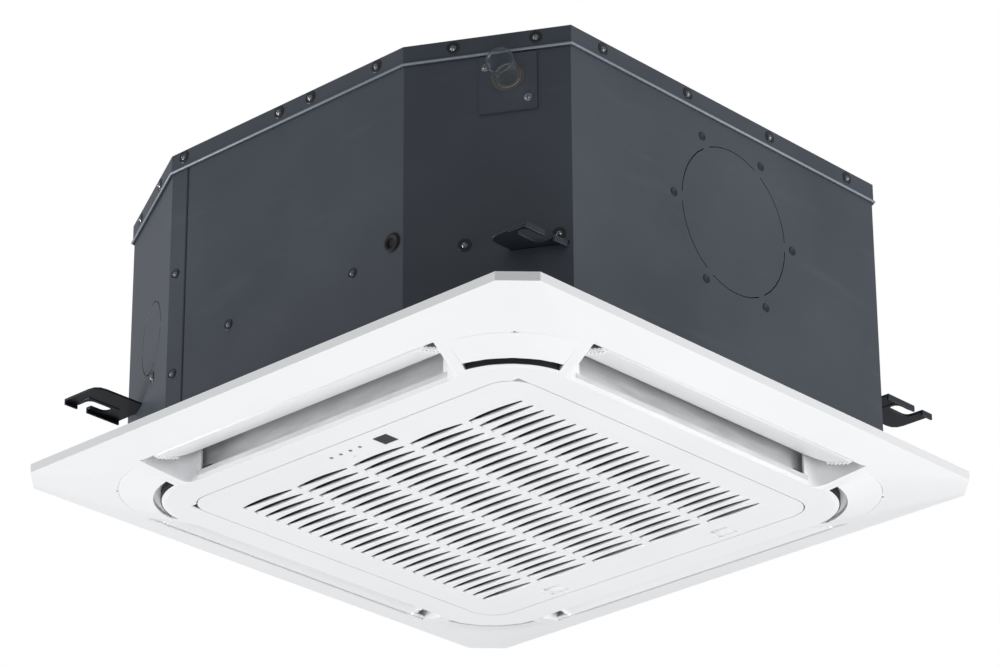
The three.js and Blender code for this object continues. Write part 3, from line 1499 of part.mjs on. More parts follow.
function addGrille(unit) {
  addPart(unit, "intake_grille", makeGrille(), "panel");
  addPart(unit, "air_filter", makeFilter(), "filter");
  addPart(unit, "receiver_window", makeReceiverWindow(), "smoked", (mesh) => mesh.position.set(windowX, windowY, 0));
  addPart(unit, "display_board", makeDisplayBoard(), "board");
  addPart(unit, "manual_button", makeButton(), "panel", (mesh) => mesh.position.set(buttonX, buttonY, 0));
  const latch = makeLatch();
  const pin = makeHingePin();
  [["south", -1], ["north", 1]].forEach(([name, sign]) => {
    addPart(unit, `grille_latch_${name}`, latch, "panel", (mesh) => {
      mesh.position.set(latchX, (sign * latchPitch) / 2, 0);
    });
    addPart(unit, `hinge_pin_${name}`, pin, "steel", (mesh) => {
      mesh.position.set(hingeX, (sign * hingePitch) / 2, hingeHeight);
    });
  });
}

function addCasing(unit) {
  const shell = casingShell();
  addPart(unit, "casing_main", makeCasingMain(shell), "casing");
  addPart(unit, "casing_corner_sheet", common(shell, cornerRegion(0)), "casing");
  addPart(unit, "top_cover", makeTopCover(), "casing");
  addPart(unit, "side_insulation", makeSideFoam(), "foam");
  addPart(unit, "top_insulation", makeTopFoam(), "foam");
  const wide = makeHanger(wideHanger);
  const narrow = makeHanger(narrowHanger).scale(-1, 1, 1);
  const halfTurn = (mesh) => {
    mesh.rotation.z = Math.PI;
  };
  addPart(unit, "hanger_bracket_south_east", wide, "casing");
  addPart(unit, "hanger_bracket_north_west", wide, "casing", halfTurn);
  addPart(unit, "hanger_bracket_south_west", narrow, "casing");
  addPart(unit, "hanger_bracket_north_east", narrow, "casing", halfTurn);
  const west = faceGroup(2);
  unit.add(west);
  addPart(west, "cable_grommet", makeGrommet(), "rubber", (mesh) => mesh.position.set(0, -cableHoleY, cableHoleZ));
}

function addWaterSide(unit) {
  addPart(unit, "drain_pan", makeDrainPan(), "pan");
  addPart(unit, "coil", makeCoil(), "fins");
  addPart(unit, "coil_end_plate", makeCoilEndPlate(), "galvanised");
  addPart(unit, "flow_header", makeHeader(headerInner, headerOuter, flowBranchZ, true), "copper");
  addPart(unit, "return_header", makeHeader(headerOuter, headerInner, returnBranchZ, false), "copper");
  const nut = makeUnionNut();
  const nutY = branchReach - unionLength - unionRecess;
  addPart(unit, "flow_union_nut", nut, "brass", (mesh) => mesh.position.set(headerInner, nutY, flowBranchZ));
  addPart(unit, "return_union_nut", nut, "brass", (mesh) => mesh.position.set(headerOuter, nutY, returnBranchZ));
}

function addDrain(unit) {
  const corner = chamferGroup(-1, -1);
  unit.add(corner);
  addPart(corner, "drain_pump", makePump(), "motor", (mesh) => mesh.position.set(-pumpInset, drainAlong, 0));
  addPart(corner, "drain_float", makeFloat(), "fan", (mesh) => mesh.position.set(-pumpInset, floatAlong, 0));
  addPart(corner, "drain_riser", makeRiser(), "rubber");
  addPart(corner, "drain_plate", makeDrainPlate(), "casing");
  addPart(corner, "drain_stub", makeDrainStub(), "smoked", (mesh) => mesh.position.set(0, drainAlong, drainZ));
}

function addFan(unit) {
  addPart(unit, "impeller", makeImpeller(), "fan");
  addPart(unit, "motor_shaft", rod(shaftRadius, shaftFootZ, shaftTopZ), "steel");
  addPart(unit, "hub_nut", makeHubNut(), "steel");
  addPart(unit, "fan_motor", makeFanMotor(), "motor");
  addPart(unit, "bell_mouth", makeBellMouth(), "galvanised");
  const plate = rod(motorPlateRadius, motorPlateTop - motorPlateThickness, motorPlateTop, wheelSideCount);
  addPart(unit, "motor_plate", plate, "galvanised");
  const mount = makeRubberMount();
  for (let i = 0; i < mountCount; i++) {
    const angle = (2 * Math.PI * i) / mountCount;
    addPart(unit, `rubber_mount_${i + 1}`, mount, "rubber", (mesh) => {
      mesh.position.set(motorEarReach * Math.cos(angle), motorEarReach * Math.sin(angle), 0);
    });
  }
}

function addElectrics(unit) {
  const box = new THREE.Group();
  box.position.x = boxX;
  unit.add(box);
  addPart(box, "control_box", makeControlBox(), "galvanised");
  addPart(box, "control_box_cover", makeControlBoxCover(), "galvanised");
  addPart(box, "control_board", makeControlBoard(), "board");
}

const unit = new THREE.Group();
unit.name = "cassette_fan_coil_unit";
addPanel(unit);
addOutlets(unit);
addGrille(unit);
addCasing(unit);
addWaterSide(unit);
addDrain(unit);
addFan(unit);
addElectrics(unit);

export default unit;
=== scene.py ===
# Four-way ceiling cassette fan coil unit, seen from below and from its drain corner.
# Metres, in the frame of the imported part: X and Y along the panel's sides, Z up.
import json
import math

import bmesh
import bpy
from mathutils import Matrix, Vector

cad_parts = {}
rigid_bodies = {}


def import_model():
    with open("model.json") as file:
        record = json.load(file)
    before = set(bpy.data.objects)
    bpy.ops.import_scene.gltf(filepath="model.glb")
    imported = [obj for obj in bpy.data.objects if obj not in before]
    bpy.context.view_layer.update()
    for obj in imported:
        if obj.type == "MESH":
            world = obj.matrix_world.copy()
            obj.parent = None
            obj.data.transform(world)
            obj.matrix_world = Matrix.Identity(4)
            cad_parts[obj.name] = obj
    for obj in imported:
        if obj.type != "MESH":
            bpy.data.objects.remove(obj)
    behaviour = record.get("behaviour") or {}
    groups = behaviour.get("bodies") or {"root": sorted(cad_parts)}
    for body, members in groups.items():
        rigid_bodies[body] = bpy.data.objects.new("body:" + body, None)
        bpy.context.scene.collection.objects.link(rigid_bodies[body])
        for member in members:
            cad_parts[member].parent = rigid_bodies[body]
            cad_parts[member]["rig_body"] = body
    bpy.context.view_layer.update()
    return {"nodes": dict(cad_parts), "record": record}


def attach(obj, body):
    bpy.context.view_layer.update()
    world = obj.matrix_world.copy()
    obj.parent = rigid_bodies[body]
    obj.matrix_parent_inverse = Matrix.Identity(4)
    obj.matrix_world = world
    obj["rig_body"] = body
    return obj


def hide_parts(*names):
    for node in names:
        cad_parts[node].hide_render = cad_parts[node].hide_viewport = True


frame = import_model()
cad = frame["nodes"]
MM = 0.001


# Colour and node helpers

def linear(hex_colour):
    """An sRGB hex colour as the linear RGBA that a shader socket takes."""
    channels = [int(hex_colour[i:i + 2], 16) / 255 for i in (1, 3, 5)]
    return [c / 12.92 if c <= 0.04045 else ((c + 0.055) / 1.055) ** 2.4 for c in channels] + [1.0]


def add_node(tree, kind, settings, inputs):
    """Adds a node with its settings. An input is a value, or the socket of another node that feeds it."""
    made = tree.nodes.new(kind)
    for name, value in settings.items():
        setattr(made, name, value)
    for name, value in inputs.items():
        if isinstance(value, bpy.types.NodeSocket):
            tree.links.new(value, made.inputs[name])
        else:
            made.inputs[name].default_value = value
    return made


def new_finish(name, **constants):
    """A material with a Principled shader whose constants are set on its own sockets."""
    material = bpy.data.materials.new(name)
    material.use_nodes = True
    tree = material.node_tree
    shader = tree.nodes["Principled BSDF"]
    for socket, value in constants.items():
        shader.inputs[socket.replace("_", " ")].default_value = value
    place = tree.nodes.new("ShaderNodeTexCoord").outputs["Object"]
    return material, tree, shader, place


def tone(tree, mask, low, high):
    """Two hex colours mixed by a mask."""
    mixed = add_node(tree, "ShaderNodeMix", {"data_type": "RGBA"}, {"Factor": mask})
    mixed.inputs[6].default_value = linear(low)
    mixed.inputs[7].default_value = linear(high)
    return mixed.outputs[2]


def spread(tree, value, low, high, start=0.0, end=1.0):
    """A value's range start to end, moved to low to high and clamped."""
    inputs = {"Value": value, "From Min": start, "From Max": end, "To Min": low, "To Max": high}
    return add_node(tree, "ShaderNodeMapRange", {}, inputs).outputs["Result"]


def mottle(tree, place, size_mm, detail=4.0):
    """Soft noise whose patches are about size_mm across."""
    inputs = {"Vector": place, "Scale": 1000 / size_mm, "Detail": detail, "Roughness": 0.55}
    return add_node(tree, "ShaderNodeTexNoise", {}, inputs).outputs["Fac"]


def drawn_noise(tree, place, scale, detail):
    """Noise drawn out along the axes where its scale is small."""
    drawn = add_node(tree, "ShaderNodeMapping", {}, {"Vector": place, "Scale": scale}).outputs["Vector"]
    inputs = {"Vector": drawn, "Scale": 1.0, "Detail": detail}
    return add_node(tree, "ShaderNodeTexNoise", {}, inputs).outputs["Fac"]


def cells(tree, place, size_mm, output="Distance", **settings):
    """A pattern of cells that are about size_mm across."""
    inputs = {"Vector": place, "Scale": 1000 / size_mm}
    return add_node(tree, "ShaderNodeTexVoronoi", settings, inputs).outputs[output]


def arithmetic(tree, operation, *values):
    """The result of one arithmetic node."""
    return add_node(tree, "ShaderNodeMath", {"operation": operation}, dict(enumerate(values))).outputs[0]


def ripple(tree, distance, pitch_mm):
    """A sine wave of pitch_mm along a distance."""
    return arithmetic(tree, "SINE", arithmetic(tree, "MULTIPLY", distance, 2 * math.pi / (pitch_mm * MM)))


def relief(tree, shader, height, depth_mm):
    """Bumps of depth_mm on the shader's normal."""
    inputs = {"Height": height, "Strength": 1.0, "Distance": depth_mm * MM}
    bump = add_node(tree, "ShaderNodeBump", {}, inputs).outputs["Normal"]
    tree.links.new(bump, shader.inputs["Normal"])


# Finishes

def powder_coated_steel(name, paint, rubbed):
    """Powder coat on galvanised sheet: satin, with fine orange peel, dust and a few handling rubs."""
    material, tree, shader, place = new_finish(name, IOR=1.5)
    cloud = mottle(tree, place, 160, detail=6.0)
    rubs = spread(tree, drawn_noise(tree, place, (9, 9, 60), 5.0), 0.0, 0.35, 0.60, 0.74)
    base = tone(tree, spread(tree, cloud, 0.0, 0.5, 0.35, 0.7), paint, rubbed)
    worn = add_node(tree, "ShaderNodeMix", {"data_type": "RGBA"}, {"Factor": rubs})
    tree.links.new(base, worn.inputs[6])
    worn.inputs[7].default_value = linear(rubbed)
    tree.links.new(worn.outputs[2], shader.inputs["Base Color"])
    tree.links.new(spread(tree, cloud, 0.34, 0.47, 0.3, 0.7), shader.inputs["Roughness"])
    # Orange peel is about 1.5 mm from crest to crest; it is drawn at 2.5 mm to show in the render
    relief(tree, shader, mottle(tree, place, 2.5, detail=1.0), 0.02)
    return material


def galvanised_steel(name):
    """Hot-dip zinc: grey metal broken up into dull and bright spangles some 6 mm across."""
    material, tree, shader, place = new_finish(name, Metallic=1.0)
    spangle = cells(tree, place, 6, output="Color")
    shade = add_node(tree, "ShaderNodeSeparateColor", {}, {"Color": spangle}).outputs["Red"]
    tree.links.new(tone(tree, shade, "#9DA2A6", "#C3C7CA"), shader.inputs["Base Color"])
    tree.links.new(spread(tree, shade, 0.32, 0.5), shader.inputs["Roughness"])
    relief(tree, shader, mottle(tree, place, 3), 0.015)
    return material


def moulded_abs(name, light, shade, gloss=0.36):
    """Injection-moulded ABS: a spark-eroded skin that scatters light, with a faint cloudiness."""
    material, tree, shader, place = new_finish(name, IOR=1.52)
    cloud = mottle(tree, place, 220, detail=3.0)
    clouded = spread(tree, cloud, 0.0, 1.0, 0.35, 0.7)
    tree.links.new(tone(tree, clouded, light, shade), shader.inputs["Base Color"])
    fine = mottle(tree, place, 1.2, detail=2.0)
    tree.links.new(spread(tree, fine, gloss, gloss + 0.12, 0.3, 0.7), shader.inputs["Roughness"])
    # The eroded grain is 0.15 mm on the real panel; it is drawn at 1.2 mm to show in the render
    relief(tree, shader, fine, 0.008)
    return material


def expanded_polystyrene(name, light, shade):
    """Moulded bead foam: a dull skin of pressed beads with fine dark seams between them."""
    material, tree, shader, place = new_finish(name, Roughness=0.85, IOR=1.4)
    seams = cells(tree, place, 4, feature="DISTANCE_TO_EDGE")
    bead = spread(tree, seams, 0.0, 1.0, 0.0, 0.12)
    tree.links.new(tone(tree, bead, shade, light), shader.inputs["Base Color"])
    relief(tree, shader, bead, 0.06)
    return material


def closed_cell_foam(name, light, shade):
    """Nitrile foam sheet: matt black with the small open cells of its cut skin."""
    material, tree, shader, place = new_finish(name, Roughness=0.95, IOR=1.45)
    pores = cells(tree, place, 1.8)
    tree.links.new(tone(tree, pores, shade, light), shader.inputs["Base Color"])
    relief(tree, shader, pores, 0.15)
    return material


def fin_pack(name):
    """Aluminium fins on edge, 1.8 mm apart: bright crests with dark gaps of painted shade running up the
    coil.
    """
    material, tree, shader, place = new_finish(name, Metallic=1.0)
    part = add_node(tree, "ShaderNodeSeparateXYZ", {}, {"Vector": place})
    along = arithmetic(tree, "ADD", part.outputs["X"], part.outputs["Y"])
    # The dark stripes are painted shade in the gaps between the fins
    fins = spread(tree, ripple(tree, along, 1.8), 0.0, 1.0, -0.6, 0.6)
    tree.links.new(tone(tree, fins, "#54595C", "#CDD3D6"), shader.inputs["Base Color"])
    tree.links.new(spread(tree, mottle(tree, place, 40), 0.28, 0.45), shader.inputs["Roughness"])
    relief(tree, shader, fins, 0.5)
    return material


def drawn_tube(name, clean, tarnish):
    """Drawn copper or turned brass: bright metal with tarnish in soft blotches."""
    material, tree, shader, place = new_finish(name, Metallic=1.0)
    stain = spread(tree, mottle(tree, place, 18, detail=6.0), 0.0, 1.0, 0.42, 0.68)
    tree.links.new(tone(tree, stain, clean, tarnish), shader.inputs["Base Color"])
    tree.links.new(spread(tree, stain, 0.22, 0.48), shader.inputs["Roughness"])
    relief(tree, shader, mottle(tree, place, 2), 0.01)
    return material


def zinc_plated_steel(name):
    """Clear-passivated zinc on small steel parts: bluish and bright, dulled where it is handled."""
    material, tree, shader, place = new_finish(name, Metallic=1.0)
    dulled = mottle(tree, place, 5, detail=5.0)
    handled = spread(tree, dulled, 0.0, 1.0, 0.4, 0.65)
    tree.links.new(tone(tree, handled, "#B9BDC2", "#7C8187"), shader.inputs["Base Color"])
    tree.links.new(spread(tree, dulled, 0.2, 0.42, 0.3, 0.7), shader.inputs["Roughness"])
    relief(tree, shader, mottle(tree, place, 0.8, detail=2.0), 0.006)
    return material


def moulded_rubber(name, light, shade):
    """EPDM rubber: matt, with a bloom of paler dust."""
    material, tree, shader, place = new_finish(name, IOR=1.5)
    bloom = mottle(tree, place, 9, detail=5.0)
    tree.links.new(tone(tree, bloom, shade, light), shader.inputs["Base Color"])
    tree.links.new(spread(tree, bloom, 0.62, 0.85), shader.inputs["Roughness"])
    relief(tree, shader, mottle(tree, place, 0.7, detail=1.0), 0.02)
    return material


def woven_filter_net(name, thread, hole_shade):
    """Polypropylene net: a square weave of dark threads, with black painted shade for the holes between them,
    drawn at 2.4 mm to show.
    """
    material, tree, shader, place = new_finish(name, IOR=1.49)
    part = add_node(tree, "ShaderNodeSeparateXYZ", {}, {"Vector": place})
    lines = []
    for axis in ("X", "Y"):
        lines.append(spread(tree, ripple(tree, part.outputs[axis], 2.4), 0.0, 1.0, 0.1, 0.7))
    net = arithmetic(tree, "MAXIMUM", *lines)
    # Between the threads the colour is painted shade for the holes
    tree.links.new(tone(tree, net, hole_shade, thread), shader.inputs["Base Color"])
    tree.links.new(spread(tree, mottle(tree, place, 30), 0.5, 0.7), shader.inputs["Roughness"])
    relief(tree, shader, net, 0.3)
    return material


def smoked_acrylic(name, light, shade):
    """Infrared-clear acrylic: almost black, glossy, with the faintest haze."""
    material, tree, shader, place = new_finish(name, IOR=1.49, Coat_Weight=0.5, Coat_Roughness=0.04)
    haze = mottle(tree, place, 6)
    tree.links.new(tone(tree, haze, shade, light), shader.inputs["Base Color"])
    tree.links.new(spread(tree, haze, 0.08, 0.18), shader.inputs["Roughness"])
    relief(tree, shader, mottle(tree, place, 3), 0.004)
    return material


def clear_pvc(name, light, shade):
    """Clear PVC: thin, glossy and faintly blue, with what is behind it showing through."""
    material, tree, shader, place = new_finish(name, IOR=1.3, Transmission_Weight=0.96)
    haze = mottle(tree, place, 10)
    tree.links.new(tone(tree, haze, shade, light), shader.inputs["Base Color"])
    tree.links.new(spread(tree, haze, 0.02, 0.08), shader.inputs["Roughness"])
    relief(tree, shader, haze, 0.004)
    return material


def pressed_duct_foam(name, light, shade):
    """Grey duct insert: bead foam pressed smooth against its mould, with faint flow marks."""
    material, tree, shader, place = new_finish(name, Roughness=0.7, IOR=1.45)
    streaks = spread(tree, drawn_noise(tree, place, (25, 25, 140), 4.0), 0.0, 1.0, 0.35, 0.65)
    tree.links.new(tone(tree, streaks, shade, light), shader.inputs["Base Color"])
    relief(tree, shader, mottle(tree, place, 2.2, detail=2.0), 0.015)
    return material


def green_laminate(name):
    """Solder-masked board: green gloss with the paler tracks of copper under it."""
    material, tree, shader, place = new_finish(name, IOR=1.55)
    lines = spread(tree, cells(tree, place, 7, distance="MANHATTAN"), 0.0, 1.0, 0.42, 0.5)
    tree.links.new(tone(tree, lines, "#1F5A33", "#3E8A52"), shader.inputs["Base Color"])
    tree.links.new(spread(tree, mottle(tree, place, 8), 0.22, 0.4), shader.inputs["Roughness"])
    relief(tree, shader, lines, 0.03)
    return material


finishes = {
    "casing_paint": powder_coated_steel("powder_coated_casing_steel", "#444A54", "#545B65"),
    "bracket_paint": powder_coated_steel("powder_coated_bracket_steel", "#1E232A", "#38414C"),
    # Painted shade: a dark coat for the hollows of pressed seats and holes, and for the lap joint's shadow
    "pressed_shadow": powder_coated_steel("painted_shade_powder_coat", "#20242A", "#2C3138"),
    # Painted highlight: the lighter paint of the lid's rolled hem
    "hem_painted_highlight": powder_coated_steel("painted_highlight_rolled_hem", "#868F9A", "#A2ABB5"),
    "galvanised_steel": galvanised_steel("galvanised_sheet"),
    "panel_white": moulded_abs("moulded_white_abs", "#F6F7F8", "#F2F3F5"),
    "eye_shadow": moulded_abs("shaded_clip_eyes", "#8E8C8B", "#7C7A79"),
    "duct_grey": pressed_duct_foam("pressed_grey_duct_foam", "#DEDFE0", "#CBCCCD"),
    "collar_clay": moulded_rubber("grey_drain_collar", "#6B6660", "#4F4B47"),
    "foam": closed_cell_foam("black_nitrile_foam", "#34363A", "#191A1C"),
    "pan_foam": expanded_polystyrene("expanded_polystyrene_pan", "#DDDDD9", "#B9B9B4"),
    "aluminium_fins": fin_pack("aluminium_fin_pack"),
    "copper_tube": drawn_tube("drawn_copper", "#C98260", "#7A4A33"),
    "brass_nut": drawn_tube("turned_brass", "#CDB069", "#8C7440"),
    "fan_plastic": moulded_abs("moulded_fan_abs", "#D5D7D5", "#C7C9C8", gloss=0.42),
    "motor_grey": powder_coated_steel("lacquered_motor_steel", "#6C7176", "#888D92"),
    "bright_steel": zinc_plated_steel("zinc_plated_steel"),
    "black_rubber": moulded_rubber("moulded_black_rubber", "#1D1E20", "#0D0D0E"),
    "filter_mesh": woven_filter_net("woven_filter_net", "#26292C", "#070809"),
    "smoked_plastic": smoked_acrylic("smoked_receiver_acrylic", "#30343B", "#20232A"),
    "clear_spigot": clear_pvc("clear_pvc_spigot", "#E4EAF0", "#C9D2DA"),
    "circuit_board": green_laminate("green_circuit_laminate"),
}
slot_of = {part["node"]: part["material_slot"] for part in frame["record"]["subparts"]}


# Pieces

def dress(node, finish):
    """Gives a carried CAD node its finish."""
    slots = cad[node].material_slots
    for each in slots:
        each.material = finishes[finish]
    if not slots:
        cad[node].data.materials.append(finishes[finish])


# In a softened node, points within WELD_MM are joined and faces that bend less than FLAT_DEGREES are merged
WELD_MM = 0.004
FLAT_DEGREES = 0.3
SOFTENED_CREASE = 28.0


def softened(node, name, edge_mm):
    """A copy of a CAD node, its edges rounded by edge_mm and its curved walls shaded smoothly."""
    mesh = cad[node].data.copy()
    mesh.name = name
    work = bmesh.new()
    work.from_mesh(mesh)
    bmesh.ops.remove_doubles(work, verts=work.verts, dist=WELD_MM * MM)
    bmesh.ops.dissolve_limit(work, angle_limit=math.radians(FLAT_DEGREES), verts=work.verts, edges=work.edges)
    for face in work.faces:
        face.smooth = True
    work.to_mesh(mesh)
    work.free()
    mesh.set_sharp_from_angle(angle=math.radians(SOFTENED_CREASE))
    mesh.materials.clear()
    piece = bpy.data.objects.new(name, mesh)
    bpy.context.scene.collection.objects.link(piece)
    rounding = piece.modifiers.new("rounded_edges", "BEVEL")
    rounding.limit_method = "ANGLE"
    rounding.angle_limit = math.radians(SOFTENED_CREASE)
    rounding.width = edge_mm * MM
    rounding.segments = 2
    rounding.use_clamp_overlap = True
    even = piece.modifiers.new("even_shading", "WEIGHTED_NORMAL")
    even.keep_sharp = True
    mesh.materials.append(finishes[slot_of[node]])
    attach(piece, cad[node]["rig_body"])
    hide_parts(node)
    return piece


def outward_frame(origin, normal):
    """A matrix whose Z looks along a face's normal, for what is screwed to that face."""
    z = Vector(normal).normalized()
    x = Vector((0, 0, 1)).cross(z)
    x = x.normalized() if x.length > 1e-6 else Vector((1, 0, 0))
    turn = Matrix((x, z.cross(x), z)).transposed().to_4x4()
    return Matrix.Translation(origin) @ turn


def in_metres(profile):
    return [(radius * MM, height * MM) for radius, height in profile]


def lathe(work, place, profile, sides):
    """Adds a turned form to a mesh. Its profile starts on the axis and ends at the face it sits on."""
    rings = []
    for radius, height in profile:
        if radius == 0:
            rings.append([work.verts.new(place @ Vector((0, 0, height)))])
            continue
        ring = []
        for i in range(sides):
            angle = 2 * math.pi * i / sides
            point = Vector((radius * math.cos(angle), radius * math.sin(angle), height))
            ring.append(work.verts.new(place @ point))
        rings.append(ring)
    for inner, outer in zip(rings, rings[1:]):
        for i in range(sides):
            j = (i + 1) % sides
            if len(inner) == 1:
                work.faces.new((inner[0], outer[i], outer[j]))
            else:
                work.faces.new((inner[i], outer[i], outer[j], inner[j]))
    work.faces.new(list(reversed(rings[-1])))


def screw(work, place, head_mm, washer_mm):
    """A pan-head screw with a cross recess, on its pressed washer."""
    head, washer = head_mm / 2 * MM, washer_mm / 2 * MM
    lathe(work, place, [(0, 0.9 * MM), (washer * 0.86, 0.9 * MM), (washer, 0.5 * MM), (washer, 0)], 24)
    top = (0.9 + head_mm * 0.32) * MM
    dome = [(0, top - 1.1 * MM), (head * 0.16, top - 1.0 * MM), (head * 0.5, top),
            (head * 0.8, top - head * 0.12), (head, top - head * 0.42), (head, 0.85 * MM)]
    sides = 24
    rings = [[work.verts.new(place @ Vector((0, 0, dome[0][1])))]]
    for index, (radius, height) in enumerate(dome[1:]):
        ring = []
        for i in range(sides):
            angle = 2 * math.pi * i / sides
            arm = min(i % 6, (-i) % 6) == 0
            lift = 0.0 if index or arm else top - 0.05 * MM - height
            sunk = 1.0 * MM if index == 1 and arm else 0.0
            point = Vector((radius * math.cos(angle), radius * math.sin(angle), height + lift - sunk))
            ring.append(work.verts.new(place @ point))
        rings.append(ring)
    for i in range(sides):
        work.faces.new((rings[0][0], rings[1][i], rings[1][(i + 1) % sides]))
    for inner, outer in zip(rings[1:], rings[2:]):
        for i in range(sides):
            j = (i + 1) % sides
            work.faces.new((inner[i], outer[i], outer[j], inner[j]))
    work.faces.new(list(reversed(rings[-1])))


def own_piece(name, work, body, slot, finish=None, crease_degrees=35.0):
    """A piece of its own from a bmesh, shaded smoothly between its creases."""
    bmesh.ops.recalc_face_normals(work, faces=work.faces)
    mesh = bpy.data.meshes.new(name)
    for face in work.faces:
        face.smooth = True
    work.to_mesh(mesh)
    work.free()
    mesh.set_sharp_from_angle(angle=math.radians(crease_degrees))
    mesh.materials.append(finishes[finish or slot])
    piece = bpy.data.objects.new(name, mesh)
    bpy.context.scene.collection.objects.link(piece)
    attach(piece, body)
    return piece


def fastened(name, places, head_mm, washer_mm):
    """One piece holding the screws of one row or face."""
    work = bmesh.new()
    for place in places:
        screw(work, place, head_mm, washer_mm)
    own_piece(name, work, "casing", "bright_steel")


def pressed_seats(name, places, radius_mm):
    """Round seats pressed into the sheet, drawn raised: a rim with a dish inside it, all dark as painted
    shade for the pressed hollow.
    """
    dish = [(0, 0.15), (radius_mm * 0.55, 0.15), (radius_mm * 0.82, 0.6)]
    rim = [(radius_mm * 0.93, 0.6), (radius_mm, 0.25), (radius_mm, 0)]
    work = bmesh.new()
    for place in places:
        lathe(work, place, in_metres(dish + rim), 24)
    own_piece(name, work, "casing", "casing_paint", "pressed_shadow")


def bar(work, corner0, corner1):
    """Adds a straight bar between two opposite corners, in millimetres."""
    (x0, y0, z0), (x1, y1, z1) = corner0, corner1
    low = [work.verts.new(Vector(p) * MM) for p in ((x0, y0, z0), (x1, y0, z0), (x1, y1, z0), (x0, y1, z0))]
    high = [work.verts.new(Vector(p) * MM) for p in ((x0, y0, z1), (x1, y0, z1), (x1, y1, z1), (x0, y1, z1))]
    work.faces.new(low)
    work.faces.new(list(reversed(high)))
    for i in range(4):
        j = (i + 1) % 4
        work.faces.new((low[i], low[j], high[j], high[i]))


def skin(work, rings, closed_run=False):
    """Joins rings of equally many points into a skin, closed on itself or capped at both ends."""
    made = [[work.verts.new(Vector(point) * MM) for point in ring] for ring in rings]
    pairs = list(zip(made, made[1:] + made[:1])) if closed_run else list(zip(made, made[1:]))
    count = len(made[0])
    for first, second in pairs:
        for i in range(count):
            j = (i + 1) % count
            work.faces.new((first[i], first[j], second[j], second[i]))
    if not closed_run:
        work.faces.new(list(reversed(made[0])))
        work.faces.new(made[-1])


def disc(x, y, radius, sides):
    """The points of a circle in a plane."""
    turns = [2 * math.pi * i / sides for i in range(sides)]
    return [(x + radius * math.cos(a), y + radius * math.sin(a)) for a in turns]


# Faces of the casing that screws sit on. A chamfer is measured along from its edge on the X side.
WALL = 287.5
CHAMFER_X = 73.0
CHAMFER_Y = 135.0
CHAMFER = math.hypot(CHAMFER_X, CHAMFER_Y)


def on_x_wall(side, y, z, lift=0.0):
    return outward_frame(Vector((side * (WALL + lift), y, z)) * MM, (side, 0, 0))


def on_y_wall(side, x, z, lift=0.0):
    return outward_frame(Vector((x, side * (WALL + lift), z)) * MM, (0, side, 0))


def on_chamfer(side_x, side_y, along, z, lift=0.0):
    normal = Vector((side_x * CHAMFER_Y, side_y * CHAMFER_X, 0)).normalized()
    start = Vector((side_x * WALL, side_y * (WALL - CHAMFER_Y), z))
    run = Vector((-side_x * CHAMFER_X, side_y * CHAMFER_Y, 0)) / CHAMFER
    return outward_frame((start + run * along + normal * lift) * MM, normal)


def height_range(node):
    """The lowest and highest point of a CAD node, in millimetres."""
    heights = [(cad[node].matrix_world @ vertex.co).z / MM for vertex in cad[node].data.vertices]
    return min(heights), max(heights)


def octagon(beyond, z):
    """The casing's plan, moved outward by beyond, at a height."""
    half = WALL + beyond
    moment = CHAMFER_Y * WALL + CHAMFER_X * (WALL - CHAMFER_Y) + beyond * CHAMFER
    y = (moment - CHAMFER_Y * half) / CHAMFER_X
    x = (moment - CHAMFER_X * half) / CHAMFER_Y
    plan = [(half, -y), (half, y), (x, half), (-x, half), (-half, y), (-half, -y), (-x, -half), (x, -half)]
    return [(px, py, z) for px, py in plan]


def rolled_hem():
    """The lid's lower edge, folded back on itself into a round hem, in a lighter paint that is a painted
    highlight.
    """
    radius, reach, sides = 1.5, 1.6, 10
    foot = height_range("top_cover")[0]
    rings = []
    for step in range(sides):
        angle = 2 * math.pi * step / sides
        rings.append(octagon(reach + radius * math.cos(angle), foot + radius + radius * math.sin(angle)))
    work = bmesh.new()
    skin(work, rings, closed_run=True)
    own_piece("lid_rolled_hem", work, "casing", "casing_paint", "hem_painted_highlight", crease_degrees=40)


def lap_seam_shade():
    """A dark strip of painted shadow along the lap joint between the main sheet and the corner sheet."""
    low = height_range("casing_main")[0] + 0.5
    high = height_range("top_cover")[0] + 2
    section = [(0.2, 129.4), (-0.2, 129.7), (-0.3, 131.1), (-0.2, 132.5), (0.2, 132.8)]
    work = bmesh.new()
    skin(work, [[(-WALL + x, y, z) for x, y in section] for z in (low, high)])
    own_piece("lap_joint_painted_shade", work, "casing", "casing_paint", "pressed_shadow", crease_degrees=60)


def centre_of(node):
    """The mean of a CAD node's points."""
    points = [cad[node].matrix_world @ vertex.co for vertex in cad[node].data.vertices]
    return sum(points, Vector()) / len(points)


def grommet():
    """The rubber grommet in the cable hole: a rolled flange round a sunk disc that stands for its bore."""
    middle = centre_of("cable_grommet") / MM
    place = on_x_wall(-1, middle.y, middle.z)
    profile = [(0, -1.5), (4.6, -1.5), (4.6, 0.6), (5.6, 1.5), (7.4, 1.7), (8.8, 1.3), (9.4, 0.5), (9.4, 0)]
    work = bmesh.new()
    lathe(work, place, in_metres(profile), 36)
    ring = own_piece("cable_grommet_ring", work, "casing", "black_rubber", crease_degrees=50)
    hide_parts("cable_grommet")


